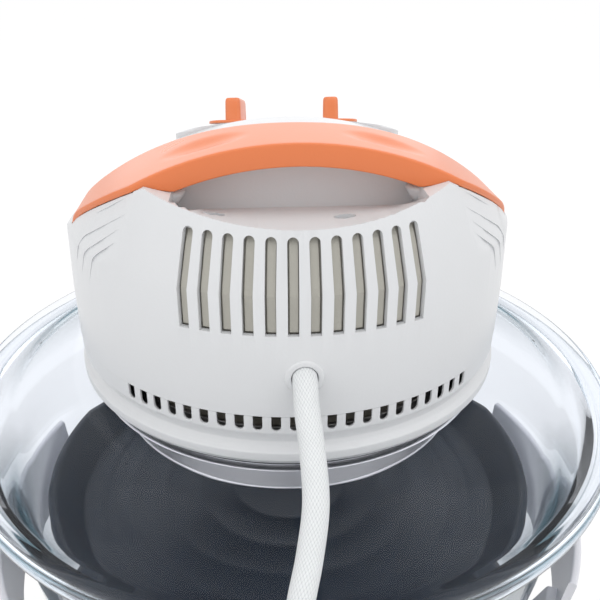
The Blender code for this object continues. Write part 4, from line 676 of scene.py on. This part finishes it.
white = plastic("white_plastic", (0.715, 0.725, 0.735), 0.30)
half = NOTCH_WIDTH / 2
shape = [(half, RING_TOP + 0.002)] + bead(0, RING_TOP - NOTCH_DEPTH + half, half, 0, -180, 10)
shape.append((-half, RING_TOP + 0.002))
notches = []
for index in range(NOTCH_COUNT):
    turn = Matrix.Rotation(TURN / 4 + NOTCH_PITCH * (index - (NOTCH_COUNT - 1) / 2), 3, "Z")
    notches.append(loft_mesh([[turn @ Vector((reach, side, height)) for side, height in shape]
                              for reach in NOTCH_REACH]))
ring = lathe(fillet(RING_OUTLINE, 0.0006, 4), HEAD_SIDES, TURN / HEAD_SIDES / 2)
ring = carve(ring, [joined(notches)], bevel=0.00022)
add("vent_ring", ring, white, "lid_and_head", "lower_ring")

# Upper housing of the head
# One white ABS moulding: arched shoulders with nested ridges, a finger well with two horns behind the
# handle, and a row of louvre slots in its back wall. Its inside is hollow, as moulded.
HEAD_RADIUS = 0.103
HEAD_BOTTOM = 0.2129
HEAD_TOP = 0.3155
SHELL = 0.0026
OVER = 0.002
GAP = 0.0003

# The turned body: a wall drafted up to a crease and a steep cone above it.
DRAFT_START = 0.235
CREASE_HEIGHT = 0.2635
DRAFT = 0.035
CONE = 0.40


def cone_radius(height):
    """The head's outer radius at a height."""
    draft = DRAFT * max(0, min(height, CREASE_HEIGHT) - DRAFT_START)
    return HEAD_RADIUS - draft - CONE * max(0, height - CREASE_HEIGHT)


reach = HEAD_RADIUS + OVER
sky = HEAD_TOP + OVER
levels = (HEAD_BOTTOM, DRAFT_START, CREASE_HEIGHT, HEAD_TOP)
body = lathe([(0, HEAD_BOTTOM), *[(cone_radius(z), z) for z in levels], (0, HEAD_TOP)], HEAD_SIDES)

# The shoulders: an arch from side to side that falls away in front, under the control panel.
ARCH_RADIUS = 0.1355
ARCH_BASE = 0.1712
DOME_TILT = math.radians(15)
PANEL_REAR = 0.010
columns = [reach * (2 * k / 96 - 1) for k in range(97)]


def vault(y, fall):
    """One arch of the tool that shapes the head's shoulders."""
    arch = [(x, y, ARCH_BASE + math.sqrt(ARCH_RADIUS ** 2 - x * x) - fall) for x in columns]
    return arch + [(reach, y, sky), (-reach, y, sky)]


drop = (PANEL_REAR + reach) * math.tan(DOME_TILT)
tools = [loft_mesh([vault(-reach, drop), vault(PANEL_REAR, 0), vault(reach, 0)])]

# The trough between the horns, and the finger well with its ledge that opens into it.
SMILE_HEIGHT = 0.2854
TROUGH_RADIUS = 0.200
TROUGH_HALF = 0.072
TROUGH_AXIS = SMILE_HEIGHT + TROUGH_RADIUS
HORN_INNER = 0.062
WELL_HALF = 0.0478
WELL_BACK = 0.052
WELL_LEDGE = 0.2795
spread = [TROUGH_HALF * (2 * k / 48 - 1) for k in range(49)]
low = [(x, TROUGH_AXIS - math.sqrt(TROUGH_RADIUS ** 2 - x * x)) for x in spread]
low += [(spread[-1], sky), (spread[0], sky)]
tools.append(loft_mesh([[(x, y, z) for x, z in low] for y in (HORN_INNER, reach)]))
wide = [WELL_HALF * (2 * k / 24 - 1) for k in range(25)]
sections = []
for x in wide:
    brim = TROUGH_AXIS - math.sqrt(TROUGH_RADIUS ** 2 - x * x)
    edge = math.sqrt(cone_radius(brim) ** 2 - x * x)
    fall = (brim - WELL_LEDGE) / (edge - WELL_BACK)
    sections.append([(x, WELL_BACK, WELL_LEDGE), (x, reach, brim + fall * (reach - edge)), (x, reach, sky),
                     (x, WELL_BACK, sky)])
tools.append(loft_mesh(sections))

# The seat of the handle's band: thick over the well, with two dimples for the thumbs and lugs at its ends,
# then thin over the shoulders and bent down where it meets the sides.
CLEAR = 0.0002
HANDLE_BACK = 0.0665
BACK_OVER = 0.002
HANDLE_FRONT = 0.032
FRONT_SWEEP = 0.019
SWEEP_REACH = 0.084
SWEEP_ROUND = 0.022
HANDLE_RADIUS = 0.138
HANDLE_THICK = 0.0092
HANDLE_THIN = 0.0026
HANDLE_ROUND = 0.0009
LUG_HALF = 0.0502
BAND_END = 0.0620
END_BEND = 0.086
END_DROP = 3000.0
DIMPLE_AT = (0.036, 0.047)
DIMPLE_HALF = (0.018, 0.0095)
DIMPLE_DEPTH = 0.0017
ARM_OUTER = 0.0990


def handle_section(angle, clear, steps):
    """One loop of the carry handle's band, square to its arch."""
    x = HANDLE_RADIUS * math.sin(angle)
    arch = HANDLE_RADIUS - END_DROP * max(0, abs(x) - END_BEND) ** 3
    z = ARCH_BASE + arch * math.cos(angle)
    thick = HANDLE_THIN
    if abs(x) < LUG_HALF:
        thick = HANDLE_THICK
    elif abs(x) < BAND_END:
        thick = HANDLE_THICK + (HANDLE_THIN - HANDLE_THICK) * (abs(x) - LUG_HALF) / (BAND_END - LUG_HALF)
    back = min(HANDLE_BACK, math.sqrt((cone_radius(z) + BACK_OVER) ** 2 - x * x))
    bow = math.hypot(x, SWEEP_ROUND) - SWEEP_ROUND
    front = HANDLE_FRONT - FRONT_SWEEP * min(1, bow / (math.hypot(SWEEP_REACH, SWEEP_ROUND) - SWEEP_ROUND))
    rows = [(front - clear, arch - HANDLE_THIN - clear), (front - clear, arch + clear),
            (back + clear, arch + clear), (back + clear, arch - thick - clear)]
    if steps:
        fine = []
        corners = fillet(rows, HANDLE_ROUND, steps)
        for one, two in zip(corners, corners[1:] + corners[:1]):
            fine.append(one)
            if min(one[1], two[1]) < arch - 1e-6 or two[0] - one[0] < 0.004:
                continue
            for k in range(1, 20):
                y = one[0] + (two[0] - one[0]) * k / 20
                away = ((abs(x) - DIMPLE_AT[0]) / DIMPLE_HALF[0], (y - DIMPLE_AT[1]) / DIMPLE_HALF[1])
                fine.append((y, arch - DIMPLE_DEPTH * max(0, 1 - (away[0] ** 2 + away[1] ** 2)) ** 1.5))
        rows = fine
    outward = Vector((math.sin(angle), 0, math.cos(angle)))
    return [Vector((0, y, ARCH_BASE)) + outward * radius for y, radius in rows]


span = math.asin(ARM_OUTER / HANDLE_RADIUS)
tools.append(loft_mesh([handle_section(span * (2 * k / 80 - 1), CLEAR, 0) for k in range(81)]))

# The pockets of the handle's arms.
ARM_TOP = 0.2580
ARM_BOSS = 0.011
ARM_NECK = (0.013, 0.021)
POCKET_FLOOR = 0.0968
POCKET_GAP = 0.0012
PIVOT = (-0.005, 0.248)


def plate(outline, inner, outer):
    """A flat outline of y and z standing between two distances from the middle."""
    return loft_mesh([[(x, y, z) for y, z in outline] for x in (inner, outer)])


def arm_outline(grow, steps=14):
    """Side outline of the handle's arm: a round boss at the pivot and a neck up to the band."""
    boss = ARM_BOSS + grow
    inner, outer = ARM_NECK
    return bead(*PIVOT, boss, 120, 330, steps) + [(outer + grow, ARM_TOP - ARM_BOSS),
                                                  (outer + grow, ARM_TOP + grow * 4),
                                                  (inner - grow, ARM_TOP + grow * 4)]


for side in (-1, 1):
    tools.append(plate(arm_outline(POCKET_GAP), side * POCKET_FLOOR, side * reach))

# The let-in for the control panel.
PANEL_FRONT = -0.076
PANEL_HALF = 0.047
PANEL_BASE_HALF = 0.051
PANEL_REAR_HEIGHT = 0.3054
PANEL_SLOPE = 0.263
PANEL_CROWN = 0.0041
PANEL_DEPTH = 0.014
PANEL_CORNER = 0.010


def panel_height(x, y):
    """The crowned, sloping top of the control panel."""
    return PANEL_REAR_HEIGHT - PANEL_SLOPE * (PANEL_REAR - y) - PANEL_CROWN * (x / PANEL_HALF) ** 2


def panel_plan(grow, steps=8):
    """The control panel's plan with round corners."""
    left = []
    for end, inward in ((PANEL_FRONT - grow, 1), (PANEL_REAR + grow, -1)):
        corner = PANEL_CORNER + grow
        row = []
        for k in range(steps + 1):
            angle = TURN / 4 * (1 - k / steps)
            row.append((PANEL_BASE_HALF + grow - corner * (1 - math.cos(angle)),
                        end + inward * corner * (1 - math.sin(angle))))
        left += row if inward > 0 else list(reversed(row))
    return left


def block(outline, low, high):
    """A flat outline of x and y raised between two heights, each a number or a function of the point."""
    rows = []
    for level in (low, high):
        rows.append([(x, y, level(x, y) if callable(level) else level) for x, y in outline])
    return loft_mesh(rows)


plan = panel_plan(GAP)
plan += [(-x, y) for x, y in reversed(plan)]
tools.append(block(plan, lambda x, y: panel_height(0, y) - PANEL_DEPTH - GAP, sky))

# The hollow inside: the main room, the attic above it, the rooms under the panel and the handle, and the bore
# of the switch's plunger.
ROOM_TOP = 0.2505
ATTIC_FLOOR = 0.2485
ATTIC_TOP = 0.2755
ATTIC_RADIUS = 0.090
ATTIC_HALF = 0.078
FRONT_ROOM = ((-0.056, -0.062), (-0.046, -0.072), (0.046, -0.072), (0.056, -0.062), (0.056, 0.002),
              (-0.056, 0.002))
FRONT_ROOF = 0.004
HANDLE_ROOM = ((-0.055, 0.004), (0.055, 0.004), (0.055, 0.048), (-0.055, 0.048))
HANDLE_ROOM_LEVELS = (0.2735, 0.2885)
PLUNGER_AT = (-0.036, 0.040)
PLUNGER_BORE = 0.0026
wall = POCKET_FLOOR - SHELL
room = [(max(-wall, min(wall, x)), y) for x, y in ring_points(HEAD_RADIUS - SHELL, 160)]
tools.append(block(room, HEAD_BOTTOM - OVER, ROOM_TOP))
attic = [(max(-ATTIC_HALF, min(ATTIC_HALF, x)), max(0, y)) for x, y in ring_points(ATTIC_RADIUS, 160)]
tools.append(block(attic, ATTIC_FLOOR, ATTIC_TOP))
tools.append(block(FRONT_ROOM, ATTIC_FLOOR, lambda x, y: panel_height(0, y) - PANEL_DEPTH - FRONT_ROOF))
tools.append(block(HANDLE_ROOM, *HANDLE_ROOM_LEVELS))
tools.append(block(ring_points(PLUNGER_BORE, 24, *PLUNGER_AT), 0.2865, HEAD_TOP))

# The vanes' channel behind the back wall and the louvre slots, taller and fanned a little towards the ends.
SLOT_PITCH = math.radians(4.62)
SLOT_SPREAD = math.radians(0.05)
SLOT_WIDTH = 0.0041
SLOT_BOTTOM = 0.248
SLOT_TOP = 0.2832
SLOT_RISE = 0.0015
SLOT_FLOOR = 0.0916
SLOT_COUNT = 12
MIDDLE_SLOT = (SLOT_COUNT - 1) / 2
thin = SHELL - GAP
bend = CREASE_HEIGHT - SHELL / 5
channel = [(0.088, ATTIC_FLOOR), *[(cone_radius(z) - thin, z) for z in (ATTIC_FLOOR, bend, SLOT_TOP)],
           (0.088, SLOT_TOP)]
tools.append(lathe(channel, 48, TURN / 4 - SLOT_PITCH * 6.5, SLOT_PITCH * 13))


def on_slot(place, depth, side, height):
    """A point of one slot, which leans out a little towards its top."""
    lean = SLOT_SPREAD * (height - SLOT_BOTTOM) / (SLOT_TOP - SLOT_BOTTOM)
    turn = Matrix.Rotation(TURN / 4 + (SLOT_PITCH + lean) * place, 3, "Z")
    return turn @ Vector((depth, side, height))


slots = []
half = SLOT_WIDTH / 2
for index in range(SLOT_COUNT):
    place = index - MIDDLE_SLOT
    top = SLOT_TOP + SLOT_RISE * (place / MIDDLE_SLOT) ** 2
    shape = [(-half, SLOT_BOTTOM), (half, SLOT_BOTTOM)] + bead(0, top - half, half, 0, 180, 10)
    slots.append(loft_mesh([[on_slot(place, depth, side, height) for side, height in shape]
                            for depth in (SLOT_FLOOR, reach)]))
tools.append(joined(slots))

# The stepped hole for the lead.
CORD_HOLE = 0.0078
CORD_SNUG = 0.00505
CORD_WALL = (0.0515, 0.1008)
for radius, outer in ((CORD_HOLE, CORD_WALL[1]), (CORD_SNUG, reach)):
    tools.append(loft_mesh([[(x, y, CORD_HEIGHT + z) for x, z in ring_points(radius, 48)]
                            for y in (CORD_WALL[0], outer)]))

# Four nested ridges at each side, left between shallow wedge cuts that run out at their ends.
RIDGES = (((45, 0.289), (56, 0.279)), ((44, 0.2835), (60, 0.268), (63, 0.256)),
          ((45, 0.278), (57, 0.264), (60, 0.252)), ((45.3, 0.273), (52.6, 0.2643), (55.6, 0.2514)))
RIDGE_DEPTHS = (0.00045, 0.0005, 0.0006, 0.0008)
RIDGE_WIDTH = 0.0032
for depth, corners in zip(RIDGE_DEPTHS, RIDGES):
    flat = [Vector((math.radians(a) * HEAD_RADIUS, z)) for a, z in corners]
    flat = [Vector(point) for point in fillet([flat[0], (flat[0] + flat[1]) / 2, *flat[1:]], 0.004, 4, False)]
    last = len(flat) - 1
    for side in (-1, 1):
        sections = []
        for k, point in enumerate(flat):
            along = (flat[min(last, k + 1)] - flat[max(0, k - 1)]).normalized()
            inward = Vector((along.y, -along.x))
            share = min(1, 4 * k / last, 4 * (last - k) / last)
            row = []
            for out, shift in ((0.0010, 0), (-depth * share - 0.00002, 0), (0.00002, RIDGE_WIDTH),
                               (0.0010, RIDGE_WIDTH)):
                arc = point + inward * shift
                angle = TURN / 4 - side * arc.x / HEAD_RADIUS
                r = cone_radius(arc.y) + out
                row.append((r * math.cos(angle), r * math.sin(angle), arc.y))
            sections.append(row)
        tools.append(loft_mesh(sections))

# Two small hollows in the well's ledge, the bosses under the handle and the lip round the lead's hole.
HOLLOWS = ((0.032, 0.071), (-0.017, 0.074))
HOLLOW_RADIUS = 0.0042
HOLLOW_FLOOR = 0.2786
BOSS_AT = (0.0490, 0.0570)
BOSS_OUTLINE = ((0.0058, 0.2790), (0.0056, 0.2900), (0, 0.2902))
LIP_OUTLINE = ((CORD_SNUG, -0.0012), (0.0080, -0.0012), (0.0072, 0.0006), (CORD_SNUG, 0.0006))
for x, y in HOLLOWS:
    tools.append(block(ring_points(HOLLOW_RADIUS, 32, x, y), HOLLOW_FLOOR, sky))
housing = carve(body, tools, bevel=0.0011, sharp=24)
add("moulded_housing", housing, white, "lid_and_head", "upper_housing")
for word, side in (("right", -1), ("left", 1)):
    boss = lathe([(0, 0.2790), *fillet(BOSS_OUTLINE, 0.0018, 5, False)[1:]], 48)
    boss.transform(Matrix.Translation((side * BOSS_AT[0], BOSS_AT[1], 0)))
    add(f"rest_boss_{word}", boss, white, "lid_and_head", "upper_housing")
lip = lathe(fillet(LIP_OUTLINE, 0.0006, 4), 64)
lip.transform(Matrix.Translation((0, HEAD_RADIUS - 0.0001, CORD_HEIGHT)) @ Matrix.Rotation(-TURN / 4, 4, "X"))
add("cord_lip", lip, white, "lid_and_head", "upper_housing")

# Vent vanes
# A curved strip of beige-grey plastic stands right behind the louvre slots and hides the motor.
# It fills the channel behind the wall, and a thin rib of it shows at one side of each slot.
VANE_BACK = SHELL + 0.0010
VANE_THICK = 0.0016
VANE_LEVELS = (0.2472, 0.2489, 0.2828)
RIB_STAND = 0.0019
vane_grey = plastic("vane_grey", (0.44, 0.425, 0.375), 0.55, 500.0, 0.35)
low, first, high = VANE_LEVELS
levels = [low, first, bend, *[bend + (high - bend) * k / 8 for k in range(1, 9)]]
strip = [(cone_radius(z) - VANE_BACK, z) for z in levels]
strip += [(cone_radius(z) - VANE_BACK - VANE_THICK, z) for z in reversed(levels)]
add("vane_strip", lathe(strip, 96, TURN / 4 - SLOT_PITCH * 6.25, SLOT_PITCH * 12.5), vane_grey,
    "lid_and_head", "vent_vanes")
ribs = []
for index in range(SLOT_COUNT):
    place = index - MIDDLE_SLOT
    outward = 1 if place > 0 else -1
    edges = sorted((-outward * (SLOT_WIDTH / 2 - 0.0003), outward * (SLOT_WIDTH / 2 - 0.0007)))
    sections = []
    for z in levels[1:]:
        fade = max(0, (z - SLOT_TOP + 0.006) / 0.006)
        front = cone_radius(z) - RIB_STAND - VANE_THICK * fade ** 2
        back = cone_radius(z) - VANE_BACK - 0.0006
        sections.append([on_slot(place, depth, side, z) for depth, side in
                         ((back, edges[0]), (front, edges[0]), (front, edges[1]), (back, edges[1]))])
    ribs.append(loft_mesh(sections))
add("vane_ribs", joined(ribs), vane_grey, "lid_and_head", "vent_vanes")

# Carry handle
# One orange moulding: an arched band over the finger well, thin lips over the shoulders, and an arm with a
# round boss at each side that turns on a steel pin.
PIVOT_BORE = 0.0038
ARM_INNER = 0.0976
orange = plastic("orange_plastic", (0.80, 0.215, 0.070), 0.28, 1000.0, 0.10)
band = loft_mesh([handle_section(span * (2 * k / 160 - 1), 0, 4) for k in range(161)])
arms = [plate(arm_outline(0, 42), side * ARM_INNER, side * ARM_OUTER) for side in (-1, 1)]
handle = carve(band, arms, "UNION", 0.0006, 34)
bores = []
for side in (-1, 1):
    bores.append(plate(ring_points(PIVOT_BORE, 32, *PIVOT), side * 0.094, side * 0.104))
handle = carve(handle, bores, sharp=34)
add("arched_handle", handle, orange, "handle", "carry_handle")

# Control panel
# A white moulding let into the sloping dome in front of the handle, with a crowned top and rounded corners.
# It carries the two knobs and two amber lenses.
KNOB_X = 0.024
KNOB_Y = -0.038
LENS_Y = -0.014
PANEL_EDGE = 0.0015
SHAFT_HOLE = 0.0036
LENS_HOLE = 0.0028
sections = []
for half_width, y in panel_plan(0):
    low_edge = panel_height(0, y) - PANEL_DEPTH
    crest = half_width * PANEL_HALF / PANEL_BASE_HALF
    side_edge = panel_height(crest, y) - PANEL_EDGE
    rows = [(-half_width, low_edge), (half_width, low_edge), (half_width, side_edge)]
    rows += [(crest * (1 - 2 * k / 24), panel_height(crest * (1 - 2 * k / 24), y)) for k in range(25)]
    rows.append((-half_width, side_edge))
    sections.append([(x, y, z) for x, z in rows])


def tilted(x, y):
    """The place and tilt of the control panel's surface."""
    tilt = Matrix.Rotation(math.atan(PANEL_SLOPE), 4, "X")
    return Matrix.Translation((x, y, panel_height(x, y))) @ tilt


def stepped(points_by_level, place):
    """Loops of x and y at their levels, joined and put in place."""
    mesh = loft_mesh([[(x, y, z) for x, y in points] for z, points in points_by_level])
    mesh.transform(place)
    return mesh


holes = []
for x in (-KNOB_X, KNOB_X):
    for radius, y, low, high in ((SHAFT_HOLE, KNOB_Y, -0.028, 0.004), (LENS_HOLE, LENS_Y, -0.0033, 0.002)):
        circle = ring_points(radius, 32)
        holes.append(stepped([(low, circle), (high, circle)], tilted(x, y)))
panel = carve(loft_mesh(sections), holes, bevel=0.0009, sharp=26)
add("panel_cover", panel, white, "lid_and_head", "control_panel")

# Timer and thermostat knobs
# Orange mouldings, each a tall grip blade on a round skirt, pushed on an aluminium shaft.
# At rest each blade stands a few degrees off the line from the panel's back to its front.
KNOB_TURNS = (("timer", KNOB_X, math.radians(-7)), ("thermostat", -KNOB_X, math.radians(-6)))
SKIRT = 0.0137
SKIRT_TOP = 0.0026
BLADE = 0.0039
BLADE_LENGTH = 0.0128
BLADE_CORNER = 0.0026
BLADE_LEVELS = ((0.0012, 1.0, 1.0), (0.0085, 0.97, 0.985), (0.0112, 0.95, 0.970), (0.0122, 0.90, 0.945),
                (0.0128, 0.79, 0.910), (0.0130, 0.64, 0.860))
SOCKET_TOP = 0.0093
SHAFT_OUTLINE = ((0, -0.018), (0.003, -0.018), (0.003, 0.0086), (0.0026, 0.009), (0, 0.009))
aluminium = metal("plain_aluminium", (0.78, 0.78, 0.77), 0.28, 0.42, 120.0)
skirt_line = fillet([(SKIRT, 0.0008), (SKIRT, 0.0020), (SKIRT - 0.0006, SKIRT_TOP)], 0.0005, 4)
for name, x, angle in KNOB_TURNS:
    skirt = lathe([(0, 0.0008), *skirt_line, (0, SKIRT_TOP)], 96)
    rows = []
    for level, grow, shrink in BLADE_LEVELS:
        across = BLADE * grow
        along = BLADE_LENGTH * shrink
        plan = [(across, along), (-across, along), (-across, -along), (across, -along)]
        rows.append((level, fillet(plan, BLADE_CORNER * grow, 5)))
    blade = stepped(rows, Matrix.Rotation(angle, 4, "Z"))
    knob = carve(skirt, [blade], "UNION", 0.0005, 30)
    knob = carve(knob, [block(ring_points(0.0033, 32), 0, SOCKET_TOP)])
    knob.transform(tilted(x, KNOB_Y))
    add(f"{name}_grip", knob, orange, name, f"{name}_knob")
    shaft = lathe(SHAFT_OUTLINE, 40)
    shaft.transform(tilted(x, KNOB_Y))
    add(f"{name}_spindle", shaft, aluminium, name, f"{name}_shaft")

# Indicator lenses
# Two small domed lenses of amber polystyrene, pressed into the panel behind the knobs.
# One stands for power and one for heat.
LENS_OUTLINE = ((0, -0.003), (0.0025, -0.003), (0.0025, 0), (0.0021, 0.0004), (0.0010, 0.0006), (0, 0.0006))
amber = plastic("amber_lens", (0.62, 0.16, 0.02), 0.12, 300.0, 0.05)
for word, x in (("power", -KNOB_X), ("heat", KNOB_X)):
    lens = lathe(LENS_OUTLINE, 40)
    lens.transform(tilted(x, LENS_Y))
    add(f"{word}_lens", lens, amber, "lid_and_head", f"{word}_light")

# Cord bush
# A white moulded bush lines the snug hole where the lead leaves the back of the head.
# It sits in the wide part of the hole, against the step below the housing's skin.
BUSH_BORE = 0.00535
BUSH_RADIUS = 0.0075
BUSH_LENGTH = 0.0028
BUSH_AT = 0.0978
bush_line = [(BUSH_BORE, 0), (BUSH_RADIUS, 0), (BUSH_RADIUS, BUSH_LENGTH), (BUSH_BORE, BUSH_LENGTH)]
bush = lathe(fillet(bush_line, 0.0004, 3), 64)
bush.transform(Matrix.Translation((0, BUSH_AT, CORD_HEIGHT)) @ Matrix.Rotation(-TURN / 4, 4, "X"))
add("moulded_bush", bush, white, "lid_and_head", "cord_bush")

# Plug, pins and tie
# The moulded plug has two nickelled brass pins and is white like the lead.
# A black strap ties the coil of lead that isn't seen.
brass = metal("plug_brass", (0.80, 0.68, 0.45), 0.15, 0.30, 80.0)
black = plastic("black_plastic", (0.022, 0.022, 0.025), 0.42, 700.0, 0.25)
finish(white, "plug_body")
finish(brass, "plug_pin_one", "plug_pin_two")
finish(black, "cord_tie")

# Hidden works of the head
# Lamp, reflector, guard, fans, motor and controls keep the frame's own solids, each in its real finish.
# None of it is seen in the photograph.
copper = metal("copper_winding", (0.72, 0.34, 0.16), 0.25, 0.45, 300.0, (1, 1, 12))
dark_steel = metal("dark_steel", (0.26, 0.26, 0.27), 0.35, 0.60, 90.0, (1, 1, 30))
quartz = plastic("frosted_quartz", (0.86, 0.82, 0.74), 0.28, 1200.0, 0.15)
ceramic = plastic("white_ceramic", (0.80, 0.78, 0.72), 0.60, 800.0, 0.5)
mica = plastic("grey_board", (0.36, 0.34, 0.29), 0.85, 250.0, 0.8)
finish(steel, "wire_guard", "fan_shaft", "lower_bearing", "upper_bearing", "pivot_pin_left",
       "pivot_pin_right", "clamp_screw_1", "clamp_screw_2", "clamp_screw_3", "clamp_screw_4")
finish(aluminium, "reflector_plate", "convection_fan")
finish(dark_steel, "motor_core", "motor_bracket")
finish(copper, "motor_coil")
finish(quartz, "halogen_lamp")
finish(ceramic, "lamp_cap_left", "lamp_cap_right")
finish(mica, "insulation_disc")
finish(white, "switch_plunger", "terminal_block")
finish(black, "cooling_fan", "thermal_cutout", "timer_body", "thermostat_body", "safety_switch")
